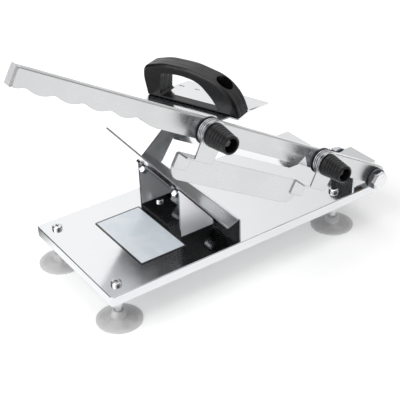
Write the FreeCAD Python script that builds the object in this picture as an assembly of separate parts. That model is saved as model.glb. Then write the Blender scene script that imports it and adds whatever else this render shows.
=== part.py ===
import FreeCAD, Part
import math
import os

# Hand lever meat slicer. Millimetres, +Z up.
# Working frame: x = 0, y = 0, z = 0 is the near left corner of the base's top face,
# +X runs to the hinge end and +Y away from the lever. Everything is moved at the end
# so that the origin lies on the bench, midway between the four suction feet.

V = FreeCAD.Vector
X_AXIS = V(1, 0, 0)
Y_AXIS = V(0, 1, 0)
Z_AXIS = V(0, 0, 1)

# Base tray
BASE_LENGTH = 340.0
BASE_WIDTH = 154.0
BASE_DEPTH = 11.0
BASE_SHEET = 1.5
BASE_CORNER = 3.0
BASE_EDGE = 1.0

# Feet
FOOT_LEFT_X = 15.5
FOOT_RIGHT_X = BASE_LENGTH - 48.0
FOOT_INSET_Y = 17.0
FOOT_HEIGHT = 43.0
CUP_RADIUS = 23.5
CUP_RIM_WIDTH = 2.5
CUP_RIM_THICKNESS = 1.2
CUP_HOLLOW = 3.0
CUP_DISC_RISE = 5.5
CUP_NECK_BOTTOM_RADIUS = 8.5
CUP_NECK_TOP_RADIUS = 6.5
CUP_NECK_EDGE = 1.0
CUP_HEIGHT = 12.0
POST_RADIUS = 4.5
POST_STUD_RADIUS = 2.5
POST_STUD_LENGTH = 7.0
FOOT_SCREW_RADIUS = 2.5
FOOT_SCREW_LENGTH = 14.0
FOOT_SCREW_HEAD_RADIUS = 5.4
FOOT_SCREW_HEAD_HEIGHT = 3.6

# Clearances
SCREW_CLEARANCE = 0.25
THREAD_CLEARANCE = 0.05
RUNNING_CLEARANCE = 0.05
FACE_GAP = 0.1

# Small screws that hold the sheet parts
SCREW_RADIUS = 2.5
SCREW_HEAD_RADIUS = 4.5
SCREW_HEAD_HEIGHT = 2.8
NUT_FLATS = 8.0
NUT_HEIGHT = 4.0
WASHER_RADIUS = 5.5
WASHER_THICKNESS = 1.0
THREAD_PAST_NUT = 1.0
# A pan head: the rounded share of its height, then its cross recess
HEAD_DOME = 0.55
RECESS_REACH = 0.45
RECESS_DEPTH = 0.4
RECESS_WIDTH = 1.1

# Bare name plate
PLATE_X = 51.0
PLATE_Y = 28.5
PLATE_LENGTH = 55.0
PLATE_WIDTH = 92.0
PLATE_THICKNESS = 0.5
PLATE_CORNER = 1.5

# Feed table: one folded sheet, a long sloping wing, a short lip and a leg
TABLE_SHEET = 1.5
TABLE_NEAR_Y = 2.0
TABLE_DEPTH = 150.0
WING_ANGLE = 51.0
WING_LENGTH = 200.0
FOLD_X = 138.0
FOLD_Z = 22.0
LIP_LENGTH = 16.2
LIP_ANGLE = 21.8
TABLE_BEND = 1.2

# Bracket under the table
BRACKET_X = 110.0
BRACKET_LENGTH = 40.0
BRACKET_NEAR_Y = 45.0
BRACKET_WIDTH = 78.0
BRACKET_SHEET = 2.0
FLANGE_WIDTH = 16.0
SLOT_LENGTH = 30.0
SLOT_WIDTH = 6.5
SLOT_FROM_FOLD = 22.0
FLANGE_FROM_CORNER = 3.0
BRACKET_SCREW_X = 128.0

# Hinge bracket
HINGE_X = 325.0
HINGE_Z = 18.5
HINGE_BOX_X = 311.0
HINGE_BOX_LENGTH = 29.0
HINGE_BOX_NEAR_Y = 5.0
HINGE_BOX_WIDTH = 39.0
HINGE_BOX_HEIGHT = 27.0
HINGE_BOX_SHEET = 2.0
HINGE_BOX_CORNER = 3.0
HINGE_FOOT_WIDTH = 11.0
HINGE_SCREW_INSET = 11.5
BOLT_RADIUS = 5.0
BOLT_HEAD_FLATS = 17.0
BOLT_HEAD_HEIGHT = 6.4
BOLT_HEAD_CHAMFER = 0.8
BOLT_END = 60.0
BOLT_WASHER_RADIUS = 11.5
SMALL_WASHER_RADIUS = 10.2
BOLT_WASHER_THICKNESS = 2.0
BOLT_WASHER_COUNT = 3
LOCK_NUT_HEIGHT = 9.0
LOCK_NUT_HEX_HEIGHT = 6.5
LOCK_NUT_COLLAR_RADIUS = 7.6
SPACER_RADIUS = 8.0
SLEEVE_RADIUS = 6.4

# Lever: an inverted channel of folded sheet. u runs from the hinge to the grip,
# v square to it. The lever is drawn level and then raised to its rest angle.
REST_ANGLE = 30.2
LEVER_DEPTH = 8.5
LEVER_SHEET = 1.2
LEVER_END = 457.5
LEVER_HEEL = 13.0
LEVER_TOP = 13.3
LEVER_BOTTOM = -7.4
LEVER_BEND = 1.6
LEVER_HEEL_ROUND = 8.0
LEVER_END_ROUND = 3.0
GRIP_START = 308.0
GRIP_WAVES = 5
GRIP_PITCH = 28.5
GRIP_DEPTH = 2.6
GRIP_BOTTOM = -5.2
GRIP_LOBE = 0.72
GRIP_FIRST_DROP = 0.8
GRIP_NOTCH_DROP = 0.9
GRIP_NOTCH_CROWN = 0.3
GRIP_LAST_RISE = 1.0
BUSH_RADIUS = 7.0
BEVEL_START = 114.0
BEVEL_END = 214.0
BEVEL_TOP = 2.7
BEVEL_INSET = 4.6
BEVEL_SLANT = 9.0
SECTION_REACH = 20.0
CAP_THICKNESS = 2.5
CAP_CORNER = 0.8
CAP_PLUG = 8.0

# Blade, on the lever's far side
BLADE_THICKNESS = 1.5
BLADE_LEFT = 279.0
BLADE_HEEL = 104.0
BLADE_HEEL_SLANT = 14.0
BLADE_HEEL_RISE = 9.8
BLADE_CORNER = 1.0
BLADE_TOP = 12.0
BLADE_EDGE = -15.3
BLADE_BEVEL = 6.5
BLADE_EDGE_THICKNESS = 0.3
BLADE_TIP_CUT = 3.0
BLADE_SCREWS = (122.0, 190.0, 266.0)
BLADE_SCREW_V = 4.5
BLADE_SCREW_RADIUS = 2.0
BLADE_SCREW_HEAD_RADIUS = 3.5
BLADE_NUT_FLATS = 7.0
BLADE_NUT_HEIGHT = 3.0
BLADE_SCREW_PAST_NUT = 0.6

# Thickness gauge: studs, springs, ears, plate and knobs
STUD_U = (251.5, 90.5)
STUD_V = 2.7
STUD_RADIUS = 3.0
STUD_COLLAR_RADIUS = 5.5
STUD_COLLAR = 2.0
STUD_END = 40.0
RING_RADIUS = 13.8
RING_THICKNESS = 1.0
SPRING_WIRE = 1.4
SPRING_RADIUS = 12.2
SPRING_TURNS = 3
SPRING_LENGTH = 8.5
EAR_SHEET = 1.5
EAR_RADIUS = 13.5
EAR_NECK = 12.9
EAR_FOOT = 22.0
EAR_BOTTOM = -23.3
TAB_WIDTH = 17.0
TAB_SHIFT = 12.0
TAB_HEIGHT = 16.0
TAB_CORNER = 2.0
GAUGE_SHEET = 1.5
GAUGE_GAP = 5.0
GAUGE_LEFT = 272.5
GAUGE_RIGHT = 101.5
GAUGE_TOP = -24.0
GAUGE_HEIGHT = 26.0
GAUGE_CORNER = 14.0
GAUGE_TOP_CORNER = 1.5
KNOB_LENGTH = 25.0
KNOB_ROOT_RADIUS = 11.8
KNOB_END_RADIUS = 9.0
KNOB_ROOT_EDGE = 0.8
KNOB_END_EDGE = 1.0
KNOB_HOLLOW_RADIUS = 6.8
KNOB_HOLLOW_EDGE = 0.6
KNOB_HOLLOW_DEPTH = 14.0
KNOB_RIDGES = 5
KNOB_RIDGE_START = 3.6
KNOB_RIDGE_PITCH = 3.6
KNOB_GROOVE_DEPTH = 0.7
INSERT_RADIUS = 5.5
INSERT_LENGTH = 10.0

# Pusher: a folded plate that stands in the trough, and a moulded handle
PUSHER_TOP_Z = 114.0
PUSHER_SHEET = 1.5
PUSHER_DEPTH = 94.2
PUSHER_FROM_TABLE_END = 6.0
PUSHER_REAR_Y = TABLE_NEAR_Y + TABLE_DEPTH - PUSHER_FROM_TABLE_END
PUSHER_FRONT_Y = PUSHER_REAR_Y - PUSHER_DEPTH
PUSHER_FRONT_LEFT_X = 155.0
PUSHER_WIDTH = 73.5
PUSHER_SIDE_YAW = 20.4
PUSHER_CUT_BACK = 24.0
PUSHER_CUT_SIDE = 13.0
PUSHER_TABLE_GAP = 0.1
WALL_LEFT_X = 157.5
WALL_WAIST_Z = 68.4
WALL_TOE_X = 124.2
WALL_RIGHT_DEPTH = 25.0
HANDLE_YAW = 22.6
HANDLE_X = 172.3
HANDLE_FROM_PUSHER_REAR = 50.5
HANDLE_Y = PUSHER_REAR_Y - HANDLE_FROM_PUSHER_REAR
HANDLE_WIDTH = 23.0
HANDLE_FRONT = -53.0
HANDLE_REAR = 58.0
HANDLE_CROWN = 40.5
HANDLE_EDGE = 3.5
HANDLE_BAR = 3.5
HANDLE_BAR_WIDTH = 9.0
HANDLE_HOLE_FRONT = -30.0
HANDLE_HOLE_REAR = 41.5
HANDLE_HOLE_TOP = 32.0
HANDLE_WELL_RADIUS = 8.3
HANDLE_WELL_AT = -30.5
HANDLE_WELL_BOTTOM = 20.0
HANDLE_SCREWS = (-43.0, 50.0)
HANDLE_SCREW_DEPTH = 13.0
HANDLE_SCREW_END_GAP = 0.5
SPIKE_SLOTS = ((180.2, PUSHER_REAR_Y - 6.1), (188.1, PUSHER_REAR_Y - 23.7))
SPIKE_SLOT_LENGTH = 6.0
SPIKE_SLOT_WIDTH = 1.6


# Worked out from the sizes above
BENCH_Z = -FOOT_HEIGHT
FOOT_FAR_Y = BASE_WIDTH - FOOT_INSET_Y
ORIGIN = V((FOOT_LEFT_X + FOOT_RIGHT_X) / 2, BASE_WIDTH / 2, BENCH_Z)
FEET = {
    "near_left": (FOOT_LEFT_X, FOOT_INSET_Y),
    "far_left": (FOOT_LEFT_X, FOOT_FAR_Y),
    "near_right": (FOOT_RIGHT_X, FOOT_INSET_Y),
    "far_right": (FOOT_RIGHT_X, FOOT_FAR_Y),
}
LEVER_NEAR = -LEVER_DEPTH
RING_NEAR = LEVER_NEAR - FACE_GAP - RING_THICKNESS
SPRING_NEAR = RING_NEAR - FACE_GAP - SPRING_LENGTH - FACE_GAP
EAR_FAR = SPRING_NEAR - RING_THICKNESS
EAR_NEAR = EAR_FAR - EAR_SHEET
GAUGE_NEAR = -GAUGE_GAP - GAUGE_SHEET
WASHER_STACK = BOLT_WASHER_COUNT * BOLT_WASHER_THICKNESS
BOX_FAR_Y = HINGE_BOX_NEAR_Y + HINGE_BOX_WIDTH
FLANGE_CENTRES = (
    BRACKET_NEAR_Y + FLANGE_WIDTH / 2 + BRACKET_SHEET / 2,
    BRACKET_NEAR_Y + BRACKET_WIDTH - FLANGE_WIDTH / 2 - BRACKET_SHEET / 2,
)


def box(x0, x1, y0, y1, z0, z1):
    return Part.makeBox(x1 - x0, y1 - y0, z1 - z0, V(x0, y0, z0))


def rod(radius, start, axis, length):
    return Part.makeCylinder(radius, length, start, axis)


def tube(outer, inner, start, axis, length):
    return rod(outer, start, axis, length).cut(rod(inner, start, axis, length))


def outline(corners, at):
    """A closed wire through (a, b, radius) corners, each rounded by a tangent arc."""
    starts = []
    ends = []
    middles = []
    count = len(corners)
    for i in range(count):
        a, b, radius = corners[i]
        here = V(a, b, 0)
        before = V(corners[i - 1][0], corners[i - 1][1], 0) - here
        after = V(corners[(i + 1) % count][0], corners[(i + 1) % count][1], 0) - here
        before.normalize()
        after.normalize()
        half = before.getAngle(after) / 2
        reach = radius / math.tan(half)
        toward = before + after
        toward.normalize()
        starts.append(here + before * reach)
        ends.append(here + after * reach)
        middles.append(here + toward * (radius / math.sin(half) - radius))
    edges = []
    for i in range(count):
        if corners[i][2] > 0:
            points = [at(p.x, p.y) for p in (starts[i], middles[i], ends[i])]
            edges.append(Part.Arc(*points).toShape())
        follow = (i + 1) % count
        if ends[i].distanceToPoint(starts[follow]) > 1e-6:
            edges.append(Part.makeLine(at(ends[i].x, ends[i].y), at(starts[follow].x, starts[follow].y)))
    return Part.Wire(edges)


def plate_xy(corners, z0, z1):
    wire = outline(corners, lambda a, b: V(a, b, z0))
    return Part.Face(wire).extrude(V(0, 0, z1 - z0))


def plate_xz(corners, y0, y1):
    wire = outline(corners, lambda a, b: V(a, y0, b))
    return Part.Face(wire).extrude(V(0, y1 - y0, 0))


def revolve(points, centre, axis):
    """Turn a profile of (radius, height) points about an axis through centre."""
    side = V(1, 0, 0)
    corners = [centre + side * r + axis * h for r, h in points]
    face = Part.Face(Part.makePolygon(corners + corners[:1]))
    return face.revolve(centre, axis, 360)


def hexagon(flats, centre, axis, height):
    """A hexagonal prism standing on centre, with two corners on the X axis."""
    corner = flats / math.sqrt(3)
    side = axis.cross(X_AXIS)
    points = []
    for i in range(7):
        angle = math.radians(60 * i)
        points.append(centre + X_AXIS * (corner * math.cos(angle)) + side * (corner * math.sin(angle)))
    return Part.Face(Part.makePolygon(points)).extrude(axis * height)


def folded(points, sheet, bend):
    """Corners of a folded sheet seen edge on, from the centre line of the sheet."""
    left = []
    right = []
    last = len(points) - 1
    for i in range(len(points)):
        here = V(points[i][0], points[i][1], 0)
        back = here - V(points[max(i - 1, 0)][0], points[max(i - 1, 0)][1], 0)
        ahead = V(points[min(i + 1, last)][0], points[min(i + 1, last)][1], 0) - here
        if i == 0:
            back = ahead
        if i == last:
            ahead = back
        back = V(back).normalize()
        ahead = V(ahead).normalize()
        mitre = V(-back.y - ahead.y, back.x + ahead.x, 0).normalize()
        reach = sheet / 2 / mitre.dot(V(-back.y, back.x, 0))
        turns_left = back.x * ahead.y - back.y * ahead.x > 0
        inner = bend if 0 < i < last else 0
        outer = bend + sheet if 0 < i < last else 0
        a = here + mitre * reach
        b = here - mitre * reach
        left.append((a.x, a.y, inner if turns_left else outer))
        right.append((b.x, b.y, outer if turns_left else inner))
    return left + right[::-1]


def edges_where(shape, test):
    return [e for e in shape.Edges if test(e)]


def pan_screw(radius, length, head_radius, head_height, place, axis):
    """An upright screw: a domed head on place, its shank running the other way from axis."""
    head = rod(head_radius, place, axis, head_height)
    top = place + axis * head_height
    rim = edges_where(head, lambda e: e.Closed and abs((e.CenterOfMass - top).dot(axis)) < 1e-6)
    head = head.makeFillet(head_height * HEAD_DOME, rim)
    reach = head_radius * RECESS_REACH
    for one, other in ((X_AXIS, Y_AXIS), (Y_AXIS, X_AXIS)):
        corner = top - one * reach - other * (RECESS_WIDTH / 2) - axis * (head_height * RECESS_DEPTH)
        slot = Part.Face(Part.makePolygon([
            corner,
            corner + one * (2 * reach),
            corner + one * (2 * reach) + other * RECESS_WIDTH,
            corner + other * RECESS_WIDTH,
            corner,
        ])).extrude(axis * head_height)
        head = head.cut(slot)
    return head.fuse(rod(radius, place, axis * -1, length)).removeSplitter()


def nut(flats, bore, place, axis, height):
    return hexagon(flats, place, axis, height).cut(rod(bore, place, axis, height))


def raised(shape):
    """Turn a piece drawn on the level lever up to the rest angle."""
    shape.rotate(V(HINGE_X, 0, HINGE_Z), Y_AXIS, REST_ANGLE)
    return shape


def on_lever(u, y, v):
    return V(HINGE_X - u, y, HINGE_Z + v)


def lever_plate(corners, y0, y1):
    """A plate parallel to the lever's web from (u, v, radius) corners."""
    placed = [(HINGE_X - u, HINGE_Z + v, r) for u, v, r in corners]
    return plate_xz(placed, y0, y1)


def along_wing(distance, depth, y):
    """A point on the wing: distance up from the fold, depth below its middle plane."""
    angle = math.radians(WING_ANGLE)
    x = FOLD_X - distance * math.cos(angle) - depth * math.sin(angle)
    z = FOLD_Z + distance * math.sin(angle) - depth * math.cos(angle)
    return V(x, y, z)


def wing_down():
    return (along_wing(0, 1, 0) - along_wing(0, 0, 0)).normalize()


def base_plate():
    """Pressed tray, open underneath, with a hole for every screw that crosses it."""
    def ring(inset, corner):
        return [
            (inset, inset, corner),
            (BASE_LENGTH - inset, inset, corner),
            (BASE_LENGTH - inset, BASE_WIDTH - inset, corner),
            (inset, BASE_WIDTH - inset, corner),
        ]
    outer = plate_xy(ring(0, BASE_CORNER), -BASE_DEPTH, 0)
    top = edges_where(outer, lambda e: all(abs(v.Point.z) < 1e-6 for v in e.Vertexes))
    outer = outer.makeFillet(BASE_EDGE, top)
    inner = plate_xy(ring(BASE_SHEET, BASE_CORNER - BASE_SHEET), -BASE_DEPTH, -BASE_SHEET)
    tray = outer.cut(inner)
    for x, y in FEET.values():
        tray = tray.cut(rod(FOOT_SCREW_RADIUS + SCREW_CLEARANCE, V(x, y, -BASE_DEPTH), Z_AXIS, BASE_DEPTH))
    for x, y in bracket_screw_places() + hinge_screw_places():
        tray = tray.cut(rod(SCREW_RADIUS + SCREW_CLEARANCE, V(x, y, -BASE_DEPTH), Z_AXIS, BASE_DEPTH))
    return tray


def bracket_screw_places():
    return [(BRACKET_SCREW_X, y) for y in FLANGE_CENTRES]


def hinge_screw_places():
    x = HINGE_BOX_X + HINGE_SCREW_INSET
    reach = HINGE_BOX_SHEET + HINGE_FOOT_WIDTH / 2
    return [(x, HINGE_BOX_NEAR_Y + reach), (x, BOX_FAR_Y - reach)]


def suction_cup(x, y):
    """Soft cup with a thin hollow disc and a neck that grips the post's stud."""
    bench = V(x, y, BENCH_Z)
    bore = POST_STUD_RADIUS + THREAD_CLEARANCE
    floor = CUP_HEIGHT - POST_STUD_LENGTH - FACE_GAP
    hollow = Part.Arc(
        bench + V(0, 0, CUP_HOLLOW),
        bench + V(CUP_RADIUS * 0.52, 0, CUP_HOLLOW * 0.74),
        bench + V(CUP_RADIUS - CUP_RIM_WIDTH, 0, 0),
    ).toShape()
    points = [
        (CUP_RADIUS - CUP_RIM_WIDTH, 0),
        (CUP_RADIUS, 0),
        (CUP_RADIUS, CUP_RIM_THICKNESS),
        (CUP_NECK_BOTTOM_RADIUS, CUP_DISC_RISE),
        (CUP_NECK_TOP_RADIUS, CUP_HEIGHT - CUP_NECK_EDGE),
        (CUP_NECK_TOP_RADIUS - CUP_NECK_EDGE, CUP_HEIGHT),
        (bore, CUP_HEIGHT),
        (bore, floor),
        (0, floor),
        (0, CUP_HOLLOW),
    ]
    places = [bench + V(r, 0, h) for r, h in points]
    lines = [Part.makeLine(a, b) for a, b in zip(places, places[1:])]
    return Part.Face(Part.Wire([hollow] + lines)).revolve(bench, Z_AXIS, 360)


def foot_post(x, y):
    """Round spacer between a cup and the tray, with a stud below and a thread above."""
    seat = V(x, y, BENCH_Z + CUP_HEIGHT)
    length = FOOT_HEIGHT - CUP_HEIGHT - BASE_SHEET
    post = rod(POST_RADIUS, seat, Z_AXIS, length)
    post = post.fuse(rod(POST_STUD_RADIUS, seat - Z_AXIS * POST_STUD_LENGTH, Z_AXIS, POST_STUD_LENGTH))
    thread = rod(FOOT_SCREW_RADIUS + THREAD_CLEARANCE, seat + Z_AXIS * length, Z_AXIS * -1, FOOT_SCREW_LENGTH)
    return post.cut(thread).removeSplitter()


def foot_screw(x, y):
    return pan_screw(FOOT_SCREW_RADIUS, FOOT_SCREW_LENGTH, FOOT_SCREW_HEAD_RADIUS,
                     FOOT_SCREW_HEAD_HEIGHT, V(x, y, 0), Z_AXIS)


def name_plate():
    """Thin bare plate on the tray."""
    r = PLATE_CORNER
    corners = [
        (PLATE_X, PLATE_Y, r),
        (PLATE_X + PLATE_LENGTH, PLATE_Y, r),
        (PLATE_X + PLATE_LENGTH, PLATE_Y + PLATE_WIDTH, r),
        (PLATE_X, PLATE_Y + PLATE_WIDTH, r),
    ]
    return plate_xy(corners, 0, PLATE_THICKNESS)


def lip_end():
    angle = math.radians(LIP_ANGLE)
    return (FOLD_X + LIP_LENGTH * math.cos(angle), FOLD_Z + LIP_LENGTH * math.sin(angle))


def feed_table():
    """Wing, fold, lip and leg, with a countersunk hole for each table screw."""
    top = along_wing(WING_LENGTH, 0, 0)
    lip = lip_end()
    line = [(top.x, top.z), (FOLD_X, FOLD_Z), lip, (lip[0], 0)]
    table = plate_xz(folded(line, TABLE_SHEET, TABLE_BEND), TABLE_NEAR_Y, TABLE_NEAR_Y + TABLE_DEPTH)
    for y in FLANGE_CENTRES:
        start = along_wing(table_screw_at(), -TABLE_SHEET / 2, y)
        table = table.cut(Part.makeCone(SCREW_HEAD_RADIUS, SCREW_RADIUS + SCREW_CLEARANCE,
                                        TABLE_SHEET, start, wing_down()))
    return table


def table_screw_at():
    return SLOT_FROM_FOLD + SLOT_LENGTH / 2


def table_bracket():
    """Floor, two gussets that follow the wing, and a slotted flange on each."""
    under = TABLE_SHEET / 2
    far = BRACKET_X + BRACKET_LENGTH
    angle = math.radians(WING_ANGLE)

    def wing_height(x):
        start = along_wing(0, under, 0)
        return start.z + (start.x - x) * math.tan(angle)

    side = [
        (BRACKET_X, 0, 0),
        (far, 0, 0),
        (far, wing_height(far), 0),
        (BRACKET_X, wing_height(BRACKET_X), 0),
    ]
    near = BRACKET_NEAR_Y
    wide = BRACKET_WIDTH
    bracket = box(BRACKET_X, far, near, near + wide, 0, BRACKET_SHEET)
    for y in (near, near + wide - BRACKET_SHEET):
        bracket = bracket.fuse(plate_xz(side, y, y + BRACKET_SHEET))
    low = (FOLD_X - far + FLANGE_FROM_CORNER) / math.cos(angle)
    high = (FOLD_X - BRACKET_X) / math.cos(angle)
    for y in (near, near + wide - FLANGE_WIDTH):
        strip = [
            along_wing(low, under, y),
            along_wing(high, under, y),
            along_wing(high, under + BRACKET_SHEET, y),
            along_wing(low, under + BRACKET_SHEET, y),
        ]
        flange = Part.Face(Part.makePolygon(strip + strip[:1])).extrude(V(0, FLANGE_WIDTH, 0))
        bracket = bracket.fuse(flange)
    for centre in FLANGE_CENTRES:
        bracket = bracket.cut(wing_slot(centre))
    for x, y in bracket_screw_places():
        bracket = bracket.cut(rod(SCREW_RADIUS + SCREW_CLEARANCE, V(x, y, 0), Z_AXIS, BRACKET_SHEET))
    return bracket.removeSplitter()


def wing_slot(y):
    """The long hole that lets the table slide on its bracket."""
    depth = TABLE_SHEET / 2
    down = wing_down()
    ends = (SLOT_FROM_FOLD + SLOT_WIDTH / 2, SLOT_FROM_FOLD + SLOT_LENGTH - SLOT_WIDTH / 2)
    slot = rod(SLOT_WIDTH / 2, along_wing(ends[0], depth, y), down, BRACKET_SHEET)
    slot = slot.fuse(rod(SLOT_WIDTH / 2, along_wing(ends[1], depth, y), down, BRACKET_SHEET))
    strip = [
        along_wing(ends[0], depth, y - SLOT_WIDTH / 2),
        along_wing(ends[1], depth, y - SLOT_WIDTH / 2),
        along_wing(ends[1], depth, y + SLOT_WIDTH / 2),
        along_wing(ends[0], depth, y + SLOT_WIDTH / 2),
    ]
    return slot.fuse(Part.Face(Part.makePolygon(strip + strip[:1])).extrude(down * BRACKET_SHEET))


def table_screw(y):
    """Flush screw through the wing and the slot."""
    down = wing_down()
    start = along_wing(table_screw_at(), -TABLE_SHEET / 2, y)
    head = Part.makeCone(SCREW_HEAD_RADIUS - THREAD_CLEARANCE, SCREW_RADIUS, TABLE_SHEET, start, down)
    length = TABLE_SHEET + BRACKET_SHEET + WASHER_THICKNESS + NUT_HEIGHT + THREAD_PAST_NUT
    return head.fuse(rod(SCREW_RADIUS, start, down, length)).removeSplitter()


def table_washer(y):
    start = along_wing(table_screw_at(), TABLE_SHEET / 2 + BRACKET_SHEET, y)
    return tube(WASHER_RADIUS, SCREW_RADIUS + THREAD_CLEARANCE, start, wing_down(), WASHER_THICKNESS)


def table_nut(y):
    depth = TABLE_SHEET / 2 + BRACKET_SHEET + WASHER_THICKNESS
    start = along_wing(table_screw_at(), depth, y)
    down = wing_down()
    corner = NUT_FLATS / math.sqrt(3)
    along = (along_wing(1, 0, 0) - along_wing(0, 0, 0)).normalize()
    points = []
    for i in range(7):
        angle = math.radians(60 * i)
        points.append(start + along * (corner * math.cos(angle)) + Y_AXIS * (corner * math.sin(angle)))
    body = Part.Face(Part.makePolygon(points)).extrude(down * NUT_HEIGHT)
    return body.cut(rod(SCREW_RADIUS + THREAD_CLEARANCE, start, down, NUT_HEIGHT))


def sheet_screw(x, y, thickness):
    """Screw from above through a foot of the bracket and the tray."""
    length = thickness + BASE_SHEET + NUT_HEIGHT + THREAD_PAST_NUT
    return pan_screw(SCREW_RADIUS, length, SCREW_HEAD_RADIUS, SCREW_HEAD_HEIGHT, V(x, y, thickness), Z_AXIS)


def sheet_nut(x, y):
    return nut(NUT_FLATS, SCREW_RADIUS + THREAD_CLEARANCE, V(x, y, -BASE_SHEET), Z_AXIS * -1, NUT_HEIGHT)


def hinge_bracket():
    """Folded box, open at the base's end, with two feet turned inwards."""
    sheet = HINGE_BOX_SHEET
    x0 = HINGE_BOX_X
    x1 = HINGE_BOX_X + HINGE_BOX_LENGTH
    y0 = HINGE_BOX_NEAR_Y
    y1 = BOX_FAR_Y
    r = HINGE_BOX_CORNER
    outer = plate_xy([(x0, y0, r), (x1, y0, 0), (x1, y1, 0), (x0, y1, r)], 0, HINGE_BOX_HEIGHT)
    inset = [
        (x0 + sheet, y0 + sheet, r - sheet),
        (x1, y0 + sheet, 0),
        (x1, y1 - sheet, 0),
        (x0 + sheet, y1 - sheet, r - sheet),
    ]
    shell = outer.cut(plate_xy(inset, 0, HINGE_BOX_HEIGHT - sheet))
    for a in (y0 + sheet, y1 - sheet - HINGE_FOOT_WIDTH):
        shell = shell.fuse(box(x0 + sheet, x1 - sheet, a, a + HINGE_FOOT_WIDTH, 0, sheet))
    for x, y in hinge_screw_places():
        shell = shell.cut(rod(SCREW_RADIUS + SCREW_CLEARANCE, V(x, y, 0), Z_AXIS, sheet))
    bore = rod(BOLT_RADIUS + RUNNING_CLEARANCE, V(HINGE_X, y0, HINGE_Z), Y_AXIS, y1 - y0)
    return shell.cut(bore).removeSplitter()


def hinge_bolt():
    """Hexagon bolt through washers, lever, spacer and bracket."""
    under_head = LEVER_NEAR - FACE_GAP - WASHER_STACK
    head = hexagon(BOLT_HEAD_FLATS, V(HINGE_X, under_head, HINGE_Z), Y_AXIS * -1, BOLT_HEAD_HEIGHT)
    corner = BOLT_HEAD_FLATS / math.sqrt(3)
    dome = rod(corner, V(HINGE_X, under_head, HINGE_Z), Y_AXIS * -1, BOLT_HEAD_HEIGHT)
    rim = edges_where(dome, lambda e: e.Closed and abs(e.CenterOfMass.y - under_head + BOLT_HEAD_HEIGHT) < 1e-6)
    head = head.common(dome.makeChamfer(BOLT_HEAD_CHAMFER, rim))
    shank = rod(BOLT_RADIUS, V(HINGE_X, under_head, HINGE_Z), Y_AXIS, BOLT_END - under_head)
    return head.fuse(shank).removeSplitter()


def hinge_washers():
    rings = []
    for i in range(BOLT_WASHER_COUNT):
        y = LEVER_NEAR - FACE_GAP - (i + 1) * BOLT_WASHER_THICKNESS
        radius = BOLT_WASHER_RADIUS if i % 2 == 0 else SMALL_WASHER_RADIUS
        rings.append(tube(radius, BOLT_RADIUS + RUNNING_CLEARANCE, V(HINGE_X, y, HINGE_Z), Y_AXIS,
                          BOLT_WASHER_THICKNESS))
    rings.append(tube(SMALL_WASHER_RADIUS, BOLT_RADIUS + RUNNING_CLEARANCE, V(HINGE_X, BOX_FAR_Y, HINGE_Z),
                      Y_AXIS, BOLT_WASHER_THICKNESS))
    return rings


def hinge_nut():
    """Lock nut: a hexagon with a round collar that holds the insert."""
    start = V(HINGE_X, BOX_FAR_Y + BOLT_WASHER_THICKNESS, HINGE_Z)
    body = hexagon(BOLT_HEAD_FLATS, start, Y_AXIS, LOCK_NUT_HEX_HEIGHT)
    body = body.fuse(rod(LOCK_NUT_COLLAR_RADIUS, start, Y_AXIS, LOCK_NUT_HEIGHT))
    return body.cut(rod(BOLT_RADIUS + THREAD_CLEARANCE, start, Y_AXIS, LOCK_NUT_HEIGHT)).removeSplitter()


def hinge_spacer():
    """Ring that holds the lever off the bracket, so that the blade clears it."""
    start = V(HINGE_X, FACE_GAP, HINGE_Z)
    return tube(SPACER_RADIUS, BOLT_RADIUS + RUNNING_CLEARANCE, start, Y_AXIS, HINGE_BOX_NEAR_Y - FACE_GAP)


def hinge_sleeve():
    """Tube inside the bracket that takes the bolt's clamping load."""
    start = V(HINGE_X, HINGE_BOX_NEAR_Y + HINGE_BOX_SHEET, HINGE_Z)
    length = HINGE_BOX_WIDTH - 2 * HINGE_BOX_SHEET
    return tube(SLEEVE_RADIUS, BOLT_RADIUS + RUNNING_CLEARANCE, start, Y_AXIS, length)


def grip_line():
    """The finger waves: where each lobe starts, turns into its notch and ends, and how low it hangs."""
    waves = []
    u = GRIP_START
    for i in range(GRIP_WAVES):
        low = GRIP_BOTTOM - (GRIP_FIRST_DROP if i == 0 else 0)
        waves.append((u, u + GRIP_PITCH * GRIP_LOBE, u + GRIP_PITCH, low))
        u = u + GRIP_PITCH
    return waves


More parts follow.
